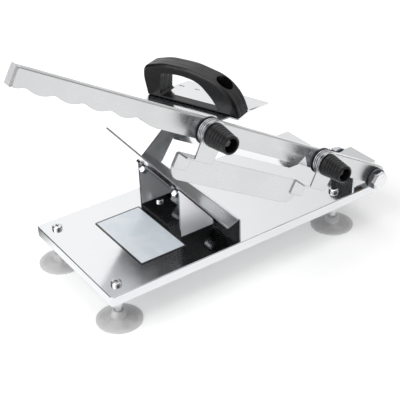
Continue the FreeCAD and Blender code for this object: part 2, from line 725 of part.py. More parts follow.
def lever_side():
    """The lever seen from the side, as edges in (u, v)."""
    def at(u, v):
        return on_lever(u, LEVER_NEAR, v)

    def quarter(start, corner, end):
        return quick_arc(at(*start), at(*corner), at(*end))

    rise = GRIP_BOTTOM + GRIP_DEPTH
    heel = -LEVER_HEEL
    round_heel = LEVER_HEEL_ROUND
    here = (heel + round_heel, LEVER_BOTTOM)
    edges = [quarter((heel, LEVER_BOTTOM + round_heel), (heel, LEVER_BOTTOM), here)]
    edges.append(Part.makeLine(at(*here), at(GRIP_START, LEVER_BOTTOM)))
    here = (GRIP_START, LEVER_BOTTOM)
    for start, notch, end, low in grip_line():
        lobe_end = (notch, rise)
        middle = ((start + notch) / 2, low)
        edges.append(Part.Arc(at(*here), at(*middle), at(*lobe_end)).toShape())
        stop = (end, rise - GRIP_NOTCH_DROP)
        edges.append(Part.Arc(at(*lobe_end), at((notch + end) / 2, rise + GRIP_NOTCH_CROWN), at(*stop)).toShape())
        here = stop
    end_round = LEVER_END_ROUND
    low = GRIP_BOTTOM + GRIP_LAST_RISE
    edges.append(Part.makeLine(at(*here), at(LEVER_END - end_round, low)))
    edges.append(quarter((LEVER_END - end_round, low), (LEVER_END, low), (LEVER_END, low + end_round)))
    edges.append(Part.makeLine(at(LEVER_END, low + end_round), at(LEVER_END, LEVER_TOP - end_round)))
    edges.append(quarter((LEVER_END, LEVER_TOP - end_round), (LEVER_END, LEVER_TOP),
                         (LEVER_END - end_round, LEVER_TOP)))
    edges.append(Part.makeLine(at(LEVER_END - end_round, LEVER_TOP), at(heel + round_heel, LEVER_TOP)))
    edges.append(quarter((heel + round_heel, LEVER_TOP), (heel, LEVER_TOP), (heel, LEVER_TOP - round_heel)))
    edges.append(Part.makeLine(at(heel, LEVER_TOP - round_heel), at(heel, LEVER_BOTTOM + round_heel)))
    return Part.Wire(edges)


def lever_bevel(shift, below):
    """Wedge taken off the lower near side between the knobs."""
    bottom = LEVER_BOTTOM - below
    grow = 1 + below / (BEVEL_TOP - LEVER_BOTTOM)
    inset = BEVEL_INSET * grow
    slant = BEVEL_SLANT * grow
    near = LEVER_NEAR + shift
    a = on_lever(BEVEL_START, near, BEVEL_TOP)
    b = on_lever(BEVEL_END, near, BEVEL_TOP)
    c = on_lever(BEVEL_START - slant, near, bottom)
    d = on_lever(BEVEL_END + slant, near, bottom)
    e = on_lever(BEVEL_START, near + inset, bottom)
    f = on_lever(BEVEL_END, near + inset, bottom)
    faces = [
        Part.Face(Part.makePolygon([a, b, d, c, a])),
        Part.Face(Part.makePolygon([a, b, f, e, a])),
        Part.Face(Part.makePolygon([c, d, f, e, c])),
        Part.Face(Part.makePolygon([a, c, e, a])),
        Part.Face(Part.makePolygon([b, d, f, b])),
    ]
    skin = Part.makeCompound(faces)
    skin.sewShape()
    wedge = Part.Solid(skin.Shells[0])
    if wedge.Volume < 0:
        wedge.reverse()
    return wedge


def lever_section(inset, bend, u0, u1):
    """The channel's outline seen along the lever, drawn out from u0 to u1."""
    start = on_lever(u1, 0, 0)
    low = HINGE_Z + LEVER_BOTTOM - SECTION_REACH
    high = HINGE_Z + LEVER_TOP - inset
    near = LEVER_NEAR + inset
    far = -inset
    corners = [(near, low, 0), (far, low, 0), (far, high, bend), (near, high, bend)]
    wire = outline(corners, lambda a, b: V(start.x, a, b))
    return Part.Face(wire).extrude(V(u1 - u0, 0, 0))


def lever_arm():
    """Channel folded from sheet, with finger waves and a pressed bevel."""
    outer = lever_section(0, LEVER_BEND, -LEVER_HEEL, LEVER_END)
    outer = outer.common(Part.Face(lever_side()).extrude(V(0, LEVER_DEPTH, 0)))
    inner = lever_section(LEVER_SHEET, LEVER_BEND - LEVER_SHEET, LEVER_SHEET - LEVER_HEEL, LEVER_END + 5)
    shell = outer.cut(lever_bevel(0, 0)).cut(inner.cut(lever_bevel(LEVER_SHEET, SECTION_REACH)))
    shell = shell.cut(rod(BUSH_RADIUS + THREAD_CLEARANCE, on_lever(0, LEVER_NEAR, 0), Y_AXIS, LEVER_DEPTH))
    for u in STUD_U:
        shell = shell.cut(rod(STUD_RADIUS + THREAD_CLEARANCE, on_lever(u, LEVER_NEAR, STUD_V), Y_AXIS,
                              LEVER_SHEET))
    for u in BLADE_SCREWS:
        shell = shell.cut(rod(BLADE_SCREW_RADIUS + THREAD_CLEARANCE, on_lever(u, -LEVER_SHEET, BLADE_SCREW_V),
                              Y_AXIS, LEVER_SHEET))
    return raised(shell)


def lever_bush():
    """Bearing bush pressed through both webs at the hinge."""
    return raised(tube(BUSH_RADIUS, BOLT_RADIUS + RUNNING_CLEARANCE, on_lever(0, LEVER_NEAR, 0), Y_AXIS,
                       LEVER_DEPTH))


def lever_cap():
    """Moulded plug that closes the grip end of the channel."""
    bottom = GRIP_BOTTOM + GRIP_LAST_RISE
    cover = lever_plate([
        (LEVER_END, bottom, CAP_CORNER),
        (LEVER_END + CAP_THICKNESS, bottom, CAP_CORNER),
        (LEVER_END + CAP_THICKNESS, LEVER_TOP, CAP_CORNER),
        (LEVER_END, LEVER_TOP, CAP_CORNER),
    ], LEVER_NEAR, 0)
    inside = LEVER_SHEET + FACE_GAP
    plug = lever_plate([
        (LEVER_END - CAP_PLUG, bottom + CAP_CORNER, 0),
        (LEVER_END, bottom + CAP_CORNER, 0),
        (LEVER_END, LEVER_TOP - inside, 0),
        (LEVER_END - CAP_PLUG, LEVER_TOP - inside, 0),
    ], LEVER_NEAR + inside, -inside)
    return raised(cover.fuse(plug).removeSplitter())


def blade():
    """Flat knife with a ground bevel on the near side and countersunk holes."""
    knife = lever_plate([
        (BLADE_HEEL, BLADE_TOP, BLADE_CORNER),
        (BLADE_LEFT, BLADE_TOP, BLADE_CORNER),
        (BLADE_LEFT, BLADE_EDGE + BLADE_TIP_CUT, 0),
        (BLADE_LEFT - BLADE_TIP_CUT, BLADE_EDGE, 0),
        (BLADE_HEEL + BLADE_HEEL_SLANT, BLADE_EDGE, 0),
        (BLADE_HEEL, BLADE_EDGE + BLADE_HEEL_RISE, 0),
    ], 0, BLADE_THICKNESS)
    thin = BLADE_THICKNESS - BLADE_EDGE_THICKNESS
    wedge = [
        on_lever(BLADE_LEFT + 5, 0, BLADE_EDGE + BLADE_BEVEL),
        on_lever(BLADE_LEFT + 5, 0, BLADE_EDGE),
        on_lever(BLADE_LEFT + 5, thin, BLADE_EDGE),
    ]
    ground = Part.Face(Part.makePolygon(wedge + wedge[:1])).extrude(V(BLADE_LEFT - BLADE_HEEL + 10, 0, 0))
    knife = knife.cut(ground)
    for u in BLADE_SCREWS:
        knife = knife.cut(Part.makeCone(BLADE_SCREW_RADIUS + THREAD_CLEARANCE, BLADE_SCREW_HEAD_RADIUS,
                                        BLADE_THICKNESS, on_lever(u, 0, BLADE_SCREW_V), Y_AXIS))
    return raised(knife)


def blade_screw(u):
    start = on_lever(u, 0, BLADE_SCREW_V)
    length = LEVER_SHEET + BLADE_NUT_HEIGHT + BLADE_SCREW_PAST_NUT
    head = Part.makeCone(BLADE_SCREW_RADIUS, BLADE_SCREW_HEAD_RADIUS - THREAD_CLEARANCE, BLADE_THICKNESS,
                         start, Y_AXIS)
    return raised(head.fuse(rod(BLADE_SCREW_RADIUS, start, Y_AXIS * -1, length)).removeSplitter())


def blade_nut(u):
    start = on_lever(u, -LEVER_SHEET, BLADE_SCREW_V)
    return raised(nut(BLADE_NUT_FLATS, BLADE_SCREW_RADIUS + THREAD_CLEARANCE, start, Y_AXIS * -1,
                      BLADE_NUT_HEIGHT))


def gauge_stud(u):
    """Threaded stud whose collar sits inside the channel."""
    inside = LEVER_NEAR + LEVER_SHEET
    stud = rod(STUD_RADIUS, on_lever(u, inside, STUD_V), Y_AXIS * -1, inside + STUD_END)
    collar = rod(STUD_COLLAR_RADIUS, on_lever(u, inside, STUD_V), Y_AXIS, STUD_COLLAR)
    return raised(stud.fuse(collar).removeSplitter())


def ring(u, near):
    return raised(tube(RING_RADIUS, STUD_RADIUS + RUNNING_CLEARANCE, on_lever(u, near, STUD_V), Y_AXIS,
                       RING_THICKNESS))


def biarc(p0, t0, p1, t1):
    """Two tangent arcs from p0 along t0 to p1 along t1."""
    chord = p1 - p0
    both = t0 + t1
    bend = 2 * (1 - t0.dot(t1))
    reach = (-chord.dot(both) + math.sqrt(chord.dot(both) ** 2 + bend * chord.dot(chord))) / bend
    joint = (p0 + p1 + (t0 - t1) * reach) * 0.5
    return [quick_arc(p0, p0 + t0 * reach, joint), quick_arc(joint, p1 - t1 * reach, p1)]


def quick_arc(start, corner, end):
    """The arc from start to end that is tangent to the lines through corner."""
    middle = (start + end) * 0.5
    height = corner.distanceToPoint(middle)
    half = start.distanceToPoint(middle)
    side = start.distanceToPoint(corner)
    sagitta = half * (side - half) / height
    return Part.Arc(start, middle + (corner - middle) * (sagitta / height), end).toShape()


def spring(u):
    """Compression spring round the stud, one unbroken helical tube."""
    travel = SPRING_LENGTH - SPRING_WIRE
    pitch = travel / SPRING_TURNS
    far = on_lever(u, RING_NEAR - FACE_GAP - SPRING_WIRE / 2, STUD_V)

    def point(turn):
        angle = 2 * math.pi * turn
        return far + V(SPRING_RADIUS * math.cos(angle), -pitch * turn, SPRING_RADIUS * math.sin(angle))

    def tangent(turn):
        angle = 2 * math.pi * turn
        speed = 2 * math.pi * SPRING_RADIUS
        return V(-speed * math.sin(angle), -pitch, speed * math.cos(angle)).normalize()

    edges = []
    for i in range(4 * SPRING_TURNS):
        edges += biarc(point(i / 4), tangent(i / 4), point((i + 1) / 4), tangent((i + 1) / 4))
    section = Part.Wire(Part.makeCircle(SPRING_WIRE / 2, point(0), tangent(0)))
    sweep = Part.BRepOffsetAPI.MakePipeShell(Part.Wire(edges))
    sweep.add(section)
    sweep.build()
    sweep.makeSolid()
    return raised(sweep.shape())


def spring_gap():
    """Least gap between neighbouring turns, measured on points of the helix."""
    pitch = (SPRING_LENGTH - SPRING_WIRE) / SPRING_TURNS
    least = 1e9
    steps = 36
    for i in range(steps):
        for j in range(steps // 2, steps * 2):
            turn = j / steps
            a = 2 * math.pi * turn
            gap = math.hypot(SPRING_RADIUS * 2 * math.sin(a / 2), pitch * turn) - SPRING_WIRE
            least = min(least, gap)
    return least


def gauge_plate():
    """Plate whose distance from the blade sets the thickness of a slice."""
    low = GAUGE_TOP - GAUGE_HEIGHT
    return raised(lever_plate([
        (GAUGE_RIGHT, GAUGE_TOP, GAUGE_TOP_CORNER),
        (GAUGE_LEFT, GAUGE_TOP, GAUGE_TOP_CORNER),
        (GAUGE_LEFT, low, GAUGE_CORNER),
        (GAUGE_RIGHT, low, GAUGE_CORNER),
    ], GAUGE_NEAR, -GAUGE_GAP))


def gauge_ear(u):
    """Ear round a stud, a step back towards the lever and a tab on the plate."""
    low = EAR_BOTTOM - EAR_SHEET
    disc = rod(EAR_RADIUS, on_lever(u, EAR_NEAR, STUD_V), Y_AXIS, EAR_SHEET)
    half = EAR_FOOT / 2
    strap = lever_plate([
        (u - EAR_NECK, STUD_V, 0),
        (u - half, low, 0),
        (u + half, low, 0),
        (u + EAR_NECK, STUD_V, 0),
    ], EAR_NEAR, EAR_FAR)
    tab_near = GAUGE_NEAR - EAR_SHEET
    left = u + TAB_SHIFT + TAB_WIDTH / 2
    step = lever_plate([
        (u - half, low, 0),
        (left, low, 0),
        (left, EAR_BOTTOM, 0),
        (u - half, EAR_BOTTOM, 0),
    ], EAR_NEAR, GAUGE_NEAR)
    tab = lever_plate([
        (left - TAB_WIDTH, EAR_BOTTOM, 0),
        (left, EAR_BOTTOM, 0),
        (left, EAR_BOTTOM - TAB_HEIGHT, TAB_CORNER),
        (left - TAB_WIDTH, EAR_BOTTOM - TAB_HEIGHT, TAB_CORNER),
    ], tab_near, GAUGE_NEAR)
    ear = disc.fuse(strap).fuse(step).fuse(tab)
    ear = ear.cut(rod(STUD_RADIUS + RUNNING_CLEARANCE, on_lever(u, EAR_NEAR, STUD_V), Y_AXIS, EAR_SHEET))
    return raised(ear.removeSplitter())


def knob(u):
    """Tapered ridged knob, hollow at its outer end, with a bore for the insert."""
    root = on_lever(u, EAR_NEAR - FACE_GAP, STUD_V)
    out = Y_AXIS * -1
    taper = (KNOB_ROOT_RADIUS - KNOB_END_RADIUS) / KNOB_LENGTH
    pitch = KNOB_RIDGE_PITCH
    profile = [
        (0, 0),
        (KNOB_ROOT_RADIUS - KNOB_ROOT_EDGE, 0),
        (KNOB_ROOT_RADIUS, KNOB_ROOT_EDGE),
    ]
    for i in range(KNOB_RIDGES):
        start = KNOB_RIDGE_START + i * pitch
        radius = KNOB_ROOT_RADIUS - taper * start
        profile += [
            (radius, start),
            (radius - KNOB_GROOVE_DEPTH, start + pitch / 4),
            (radius - KNOB_GROOVE_DEPTH, start + pitch / 2),
            (radius - taper * pitch * 3 / 4, start + pitch * 3 / 4),
        ]
    profile += [
        (KNOB_END_RADIUS + taper * KNOB_END_EDGE, KNOB_LENGTH - KNOB_END_EDGE),
        (KNOB_END_RADIUS - KNOB_END_EDGE, KNOB_LENGTH),
        (KNOB_HOLLOW_RADIUS + KNOB_HOLLOW_EDGE, KNOB_LENGTH),
        (KNOB_HOLLOW_RADIUS, KNOB_LENGTH - KNOB_HOLLOW_EDGE),
        (KNOB_HOLLOW_RADIUS, KNOB_LENGTH - KNOB_HOLLOW_DEPTH),
        (0, KNOB_LENGTH - KNOB_HOLLOW_DEPTH),
    ]
    body = revolve(profile, root, out)
    seat = rod(INSERT_RADIUS + THREAD_CLEARANCE, root, out, KNOB_LENGTH - KNOB_HOLLOW_DEPTH)
    return raised(body.cut(seat))


def knob_insert(u):
    """Threaded insert that turns on the stud."""
    root = on_lever(u, EAR_NEAR - FACE_GAP, STUD_V)
    return raised(tube(INSERT_RADIUS, STUD_RADIUS + RUNNING_CLEARANCE, root, Y_AXIS * -1, INSERT_LENGTH))


def on_handle(shape):
    """Turn and move a piece drawn about the handle's own middle."""
    shape.rotate(V(0, 0, 0), Z_AXIS, HANDLE_YAW)
    shape.translate(V(HANDLE_X, HANDLE_Y, PUSHER_TOP_Z))
    return shape


def pusher_plate():
    """Top plate, tongue under the handle, and a wall cut to the trough's shape."""
    right = PUSHER_FRONT_LEFT_X + PUSHER_WIDTH
    shear = (PUSHER_REAR_Y - PUSHER_FRONT_Y) * math.tan(math.radians(PUSHER_SIDE_YAW))
    z0 = PUSHER_TOP_Z - PUSHER_SHEET
    left_x = PUSHER_FRONT_LEFT_X - shear
    side_shift = PUSHER_CUT_SIDE * math.tan(math.radians(PUSHER_SIDE_YAW))
    top = plate_xy([
        (PUSHER_FRONT_LEFT_X, PUSHER_FRONT_Y, 2),
        (right, PUSHER_FRONT_Y, 1),
        (right - shear, PUSHER_REAR_Y, 0),
        (left_x + PUSHER_CUT_BACK, PUSHER_REAR_Y, 0),
        (left_x + side_shift, PUSHER_REAR_Y - PUSHER_CUT_SIDE, 0),
    ], z0, PUSHER_TOP_Z)
    half = HANDLE_WIDTH / 2
    tongue = on_handle(box(-half, half, HANDLE_FRONT, 0, -PUSHER_SHEET, 0))
    angle = math.radians(WING_ANGLE)
    lip_angle = math.radians(LIP_ANGLE)
    lip_x = lip_end()[0]
    lip_rise = (TABLE_SHEET / 2 + PUSHER_TABLE_GAP) / math.cos(lip_angle)
    wing_rise = (TABLE_SHEET / 2 + PUSHER_TABLE_GAP) / math.cos(angle)

    def wing_z(x):
        return FOLD_Z + (FOLD_X - x) * math.tan(angle) + wing_rise

    def lip_z(x):
        return FOLD_Z + (x - FOLD_X) * math.tan(lip_angle) + lip_rise

    meet = FOLD_X + (wing_rise - lip_rise) / (math.tan(angle) + math.tan(lip_angle))
    wall = plate_xz([
        (WALL_LEFT_X, PUSHER_TOP_Z, 0),
        (WALL_LEFT_X, WALL_WAIST_Z, 4),
        (WALL_TOE_X, wing_z(WALL_TOE_X), 1),
        (meet, lip_z(meet), 4),
        (lip_x, lip_z(lip_x), 3),
        (right - shear, PUSHER_TOP_Z - WALL_RIGHT_DEPTH, 12),
        (right - shear, PUSHER_TOP_Z, 0),
    ], PUSHER_REAR_Y - PUSHER_SHEET, PUSHER_REAR_Y)
    sheet = top.fuse(tongue).fuse(wall)
    for x, y in SPIKE_SLOTS:
        slot = box(-SPIKE_SLOT_WIDTH / 2, SPIKE_SLOT_WIDTH / 2, -SPIKE_SLOT_LENGTH / 2, SPIKE_SLOT_LENGTH / 2,
                   -PUSHER_SHEET, 0)
        slot.rotate(V(0, 0, 0), Z_AXIS, HANDLE_YAW)
        slot.translate(V(x, y, PUSHER_TOP_Z))
        sheet = sheet.cut(slot)
    for at in HANDLE_SCREWS:
        hole = rod(SCREW_RADIUS + SCREW_CLEARANCE, V(0, at, -PUSHER_SHEET), Z_AXIS, PUSHER_SHEET)
        sheet = sheet.cut(on_handle(hole))
    return sheet.removeSplitter()


def handle_outline():
    """Corners (along, up, radius) of the handle seen from its side, front foot first."""
    return [
        (HANDLE_FRONT, 0, 1.5),
        (HANDLE_FRONT + 6.5, HANDLE_CROWN - 22.5, 40),
        (HANDLE_FRONT + 24, HANDLE_CROWN - 7, 44),
        (HANDLE_FRONT + 59, HANDLE_CROWN, 80),
        (HANDLE_REAR - 20, HANDLE_CROWN - 0.5, 60),
        (HANDLE_REAR + 3.5, HANDLE_CROWN - 7.5, 9),
        (HANDLE_REAR + 4.5, HANDLE_CROWN - 20.5, 30),
        (HANDLE_REAR, 0, 1.5),
    ]


def handle_opening():
    """The hand opening's corners, from the low front end round to the rear leg."""
    return [
        (HANDLE_HOLE_FRONT, HANDLE_BAR, 2),
        (HANDLE_HOLE_FRONT + 8, HANDLE_HOLE_TOP - 17.5, 30),
        (HANDLE_HOLE_FRONT + 24, HANDLE_HOLE_TOP - 2.5, 30),
        (HANDLE_HOLE_FRONT + 46, HANDLE_HOLE_TOP, 60),
        (HANDLE_HOLE_REAR - 2, HANDLE_HOLE_TOP - 2.5, 5),
        (HANDLE_HOLE_REAR, HANDLE_BAR, 3),
    ]


def pusher_handle():
    """Moulded handle: two feet joined by a low bar, an arch, and a deep screw well."""
    half = HANDLE_WIDTH / 2

    def slab(corners):
        wire = outline(corners, lambda a, b: V(-half, a, b))
        return Part.Face(wire).extrude(V(HANDLE_WIDTH, 0, 0))

    body = slab(handle_outline())

    def rim(e):
        flat = abs(abs(e.CenterOfMass.x) - half) < 1e-6
        return flat and e.CenterOfMass.z > HANDLE_EDGE / 2 and all(v.Point.z > 0.5 for v in e.Vertexes)

    body = body.makeFillet(HANDLE_EDGE, edges_where(body, rim))
    body = body.cut(slab(handle_opening()))
    round_corner = HANDLE_BAR_WIDTH - 1
    beside_bar = plate_xy([
        (HANDLE_BAR_WIDTH - half, HANDLE_HOLE_FRONT, 0),
        (half, HANDLE_HOLE_FRONT, 0),
        (half, HANDLE_HOLE_REAR, 0),
        (HANDLE_BAR_WIDTH - half, HANDLE_HOLE_REAR, round_corner),
    ], 0, HANDLE_BAR)
    body = body.cut(beside_bar)
    well = rod(HANDLE_WELL_RADIUS, V(0, HANDLE_WELL_AT, HANDLE_WELL_BOTTOM), Z_AXIS, HANDLE_CROWN)
    body = body.cut(well)
    for at in HANDLE_SCREWS:
        body = body.cut(rod(SCREW_RADIUS + THREAD_CLEARANCE, V(0, at, 0), Z_AXIS, HANDLE_SCREW_DEPTH))
    return on_handle(body)


def handle_screw(at):
    """Screw from below through the plate into a foot of the handle."""
    length = PUSHER_SHEET + HANDLE_SCREW_DEPTH - HANDLE_SCREW_END_GAP
    return on_handle(pan_screw(SCREW_RADIUS, length, SCREW_HEAD_RADIUS, SCREW_HEAD_HEIGHT,
                               V(0, at, -PUSHER_SHEET), Z_AXIS * -1))


def save(name, pieces):
    """Move a node to the object's own origin and write it."""
    moved = []
    for piece in pieces:
        piece.translate(ORIGIN * -1)
        moved += piece.Solids
    shape = moved[0] if len(moved) == 1 else Part.makeCompound(moved)
    valid = all(s.isValid() for s in moved)
    print(name, len(moved), "solids", "valid" if valid else "NOT VALID", round(shape.Volume))
    shape.exportStep("parts/" + name + ".step")


def main():
    os.makedirs("parts", exist_ok=True)
    print("least gap between spring turns", round(spring_gap(), 2))
    save("base_plate", [base_plate()])
    for place, (x, y) in FEET.items():
        save("suction_cup_" + place, [suction_cup(x, y)])
    save("foot_posts", [foot_post(x, y) for x, y in FEET.values()])
    save("foot_screws", [foot_screw(x, y) for x, y in FEET.values()])
    save("name_plate", [name_plate()])
    save("table_bracket", [table_bracket()])
    save("bracket_screws", [sheet_screw(x, y, BRACKET_SHEET) for x, y in bracket_screw_places()])
    save("bracket_nuts", [sheet_nut(x, y) for x, y in bracket_screw_places()])
    save("feed_table", [feed_table()])
    save("table_screws", [table_screw(y) for y in FLANGE_CENTRES])
    save("table_washers", [table_washer(y) for y in FLANGE_CENTRES])
    save("table_nuts", [table_nut(y) for y in FLANGE_CENTRES])
    save("hinge_bracket", [hinge_bracket()])
    save("hinge_bracket_screws", [sheet_screw(x, y, HINGE_BOX_SHEET) for x, y in hinge_screw_places()])
    save("hinge_bracket_nuts", [sheet_nut(x, y) for x, y in hinge_screw_places()])
    save("hinge_bolt", [hinge_bolt()])
    save("hinge_washers", hinge_washers())
    save("hinge_spacer", [hinge_spacer()])
    save("hinge_sleeve", [hinge_sleeve()])
    save("hinge_lock_nut", [hinge_nut()])
    save("lever_arm", [lever_arm()])
    save("lever_bush", [lever_bush()])
    save("lever_end_cap", [lever_cap()])
    save("blade", [blade()])
    save("blade_screws", [blade_screw(u) for u in BLADE_SCREWS])
    save("blade_nuts", [blade_nut(u) for u in BLADE_SCREWS])
    save("gauge_studs", [gauge_stud(u) for u in STUD_U])
    save("lever_rings", [ring(u, RING_NEAR) for u in STUD_U])
    save("gauge_rings", [ring(u, EAR_FAR) for u in STUD_U])
    save("gauge_plate", [gauge_plate()])
    for side, u in zip(("left", "right"), STUD_U):
        save("gauge_spring_" + side, [spring(u)])
        save("gauge_ear_" + side, [gauge_ear(u)])
        save("gauge_knob_" + side, [knob(u)])
        save("knob_insert_" + side, [knob_insert(u)])
    save("pusher_plate", [pusher_plate()])
    save("pusher_handle", [pusher_handle()])
    save("handle_screws", [handle_screw(at) for at in HANDLE_SCREWS])


main()
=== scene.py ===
# %% [markdown]
# # A hand lever slicer, dressed for its picture
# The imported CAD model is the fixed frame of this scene: its solids already have the right
# size and place, and they already move with their joints. What they lack is how steel,
# plastic and rubber look. This lesson adds that, one finish at a time, then the few small
# forms that are too fine for the solids, and last the camera, the lamps and the floor.

import math

import bmesh
import bpy
from mathutils import Matrix, Vector


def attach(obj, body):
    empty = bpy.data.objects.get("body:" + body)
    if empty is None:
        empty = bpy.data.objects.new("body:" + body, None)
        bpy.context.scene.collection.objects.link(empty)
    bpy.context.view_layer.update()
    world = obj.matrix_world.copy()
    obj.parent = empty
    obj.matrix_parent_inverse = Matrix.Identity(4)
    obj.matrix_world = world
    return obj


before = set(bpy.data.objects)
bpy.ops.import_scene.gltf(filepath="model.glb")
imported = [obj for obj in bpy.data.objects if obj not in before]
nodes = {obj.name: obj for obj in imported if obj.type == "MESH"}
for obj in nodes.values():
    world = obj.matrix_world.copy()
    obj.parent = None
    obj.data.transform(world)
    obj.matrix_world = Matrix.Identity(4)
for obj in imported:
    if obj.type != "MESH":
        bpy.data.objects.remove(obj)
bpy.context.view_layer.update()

# %% [markdown]
# ## Places
# The CAD source counts in millimetres from the near left corner of the tray's top, and
# gives places on the lever by their distance from the hinge. Two small functions turn
# both kinds of place into metres in the frame of the scene, so that every later number can
# be checked against the source. The lever is drawn level and then raised to its rest angle.

# %% Places from the CAD source
TRAY_CORNER = Vector((-0.15375, -0.077, 0.043))
HINGE = (325.0, 18.5)
REST_ANGLE = math.radians(30.2)
WING_ANGLE = math.radians(51.0)
HANDLE_TURN = math.radians(22.6)
HANDLE_MIDDLE = (172.3, 95.5, 114.0)


def place(x, y, z):
    """A point of the drawing, in metres."""
    return TRAY_CORNER + Vector((x, y, z)) / 1000


def lever_place(u, y, v):
    """A point on the raised lever: u from the hinge, v above its middle line."""
    x = HINGE[0] - u * math.cos(REST_ANGLE) + v * math.sin(REST_ANGLE)
    z = HINGE[1] + u * math.sin(REST_ANGLE) + v * math.cos(REST_ANGLE)
    return place(x, y, z)


print("hinge axis at", [round(c, 4) for c in lever_place(0, 0, 0)])

# %% [markdown]
# ## Small tools for shaders
# A shader is a graph of nodes, and writing each link out in full makes it hard to read.
# These helpers add a node, set its plain values and connect it in one line. They could be
# left out, but then every material below would be three times as long.

# %% Node helpers


def add(tree, kind, **settings):
    """Add a node. Settings are its properties, or values of inputs written as in_NAME."""
    node = tree.nodes.new(kind)
    for key, value in settings.items():
        if key.startswith("in_"):
            node.inputs[key[3:].replace("_", " ")].default_value = value
        else:
            setattr(node, key, value)
    return node


def join(tree, source, target):
    """Connect an output socket to an input socket."""
    tree.links.new(source, target)


def calc(tree, operation, a, b=None, c=None, clamp=False):
    """A Math node on sockets or numbers. Returns its output socket."""
    node = add(tree, "ShaderNodeMath", operation=operation, use_clamp=clamp)
    for i, value in enumerate((a, b, c)):
        if value is None:
            continue
        if isinstance(value, (int, float)):
            node.inputs[i].default_value = value
        else:
            join(tree, value, node.inputs[i])
    return node.outputs[0]


def span(tree, value, low, high, out_low=0.0, out_high=1.0, smooth=False):
    """Map value from low..high to out_low..out_high, held at both ends."""
    node = add(tree, "ShaderNodeMapRange", clamp=True)
    node.interpolation_type = "SMOOTHSTEP" if smooth else "LINEAR"
    join(tree, value, node.inputs["Value"])
    for name, number in (("From Min", low), ("From Max", high), ("To Min", out_low), ("To Max", out_high)):
        if isinstance(number, (int, float)):
            node.inputs[name].default_value = number
        else:
            join(tree, number, node.inputs[name])
    return node.outputs["Result"]


def blend_colour(tree, mask, first, second):
    """Mix two colours by a mask. Colours are tuples or sockets."""
    node = add(tree, "ShaderNodeMix", data_type="RGBA")
    join(tree, mask, node.inputs["Factor"])
    for index, colour in ((6, first), (7, second)):
        if isinstance(colour, tuple):
            node.inputs[index].default_value = colour + (1.0,)
        else:
            join(tree, colour, node.inputs[index])
    return node.outputs[2]


def facing(tree, direction):
    """How far the surface faces a direction: 1 is straight at it, -1 is away from it."""
    surface = add(tree, "ShaderNodeNewGeometry")
    agree = add(tree, "ShaderNodeVectorMath", operation="DOT_PRODUCT")
    agree.inputs[1].default_value = direction
    join(tree, surface.outputs["True Normal"], agree.inputs[0])
    return agree.outputs["Value"]


def turned_space(tree, angle=0.0, axis="Y"):
    """Object coordinates turned about an axis, so that X runs along the sheet's grain."""
    coords = add(tree, "ShaderNodeTexCoord")
    turn = add(tree, "ShaderNodeMapping", vector_type="POINT")
    turn.inputs["Rotation"].default_value["XYZ".index(axis)] = angle
    join(tree, coords.outputs["Object"], turn.inputs["Vector"])
    return turn.outputs["Vector"]


# %% [markdown]
# ## Effects that many finishes share
# Each effect is a node group with named inputs, built once. A group only works out masks and
# normals; the Principled shader stays in each material, where its plain values are set.

# %% A group maker


def new_group(name, inputs, outputs):
    """An empty node group. inputs are (name, socket kind, default); outputs (name, kind)."""
    tree = bpy.data.node_groups.new(name, "ShaderNodeTree")
    for label, kind, default in inputs:
        socket = tree.interface.new_socket(label, in_out="INPUT", socket_type="NodeSocket" + kind)
        if default is not None:
            socket.default_value = default
    for label, kind in outputs:
        tree.interface.new_socket(label, in_out="OUTPUT", socket_type="NodeSocket" + kind)
    start = add(tree, "NodeGroupInput")
    end = add(tree, "NodeGroupOutput")
    return tree, start.outputs, end.inputs


def use(tree, group, vector=None, **values):
    """Place a group in a material with its own values. Returns its outputs."""
    node = add(tree, "ShaderNodeGroup", node_tree=group)
    if vector is not None:
        join(tree, vector, node.inputs["Vector"])
    for key, value in values.items():
        socket = node.inputs[key.replace("_", " ")]
        if isinstance(value, (int, float)):
            socket.default_value = value
        else:
            join(tree, value, socket)
    return node.outputs


# %% [markdown]
# **Brushed grain.** Rolled and belt-finished steel carries fine lines all in one direction.
# Noise that is stretched many times along that direction looks the same at any distance and
# needs no picture. The streaks change the roughness a little and tilt the normal across
# the grain, which is what draws a highlight out into a soft band.

# %% Brushed grain
brushed_grain, gin, gout = new_group(
    "brushed grain",
    [("Vector", "Vector", None), ("Lines", "Float", 2600.0), ("Stretch", "Float", 60.0),
     ("Depth", "Float", 0.1)],
    [("Streaks", "Float"), ("Normal", "Vector")])
grain_scale = add(brushed_grain, "ShaderNodeCombineXYZ")
join(brushed_grain, calc(brushed_grain, "DIVIDE", gin["Lines"], gin["Stretch"]), grain_scale.inputs["X"])
join(brushed_grain, gin["Lines"], grain_scale.inputs["Y"])
join(brushed_grain, gin["Lines"], grain_scale.inputs["Z"])
stretched = add(brushed_grain, "ShaderNodeVectorMath", operation="MULTIPLY")
join(brushed_grain, gin["Vector"], stretched.inputs[0])
join(brushed_grain, grain_scale.outputs[0], stretched.inputs[1])
streaks = add(brushed_grain, "ShaderNodeTexNoise", in_Scale=1.0, in_Detail=3.0, in_Roughness=0.6)
join(brushed_grain, stretched.outputs[0], streaks.inputs["Vector"])
grain_bump = add(brushed_grain, "ShaderNodeBump", in_Distance=0.0001)
join(brushed_grain, gin["Depth"], grain_bump.inputs["Strength"])
join(brushed_grain, streaks.outputs["Fac"], grain_bump.inputs["Height"])
join(brushed_grain, streaks.outputs["Fac"], gout["Streaks"])
join(brushed_grain, grain_bump.outputs["Normal"], gout["Normal"])
print("group:", brushed_grain.name)

# %% [markdown]
# **Handling marks.** Metal that is used has clouds where it was wiped and a few hairline
# scratches in odd directions. The clouds are slow noise. The scratches are the thin
# places where a stretched noise crosses its middle value, in two directions.

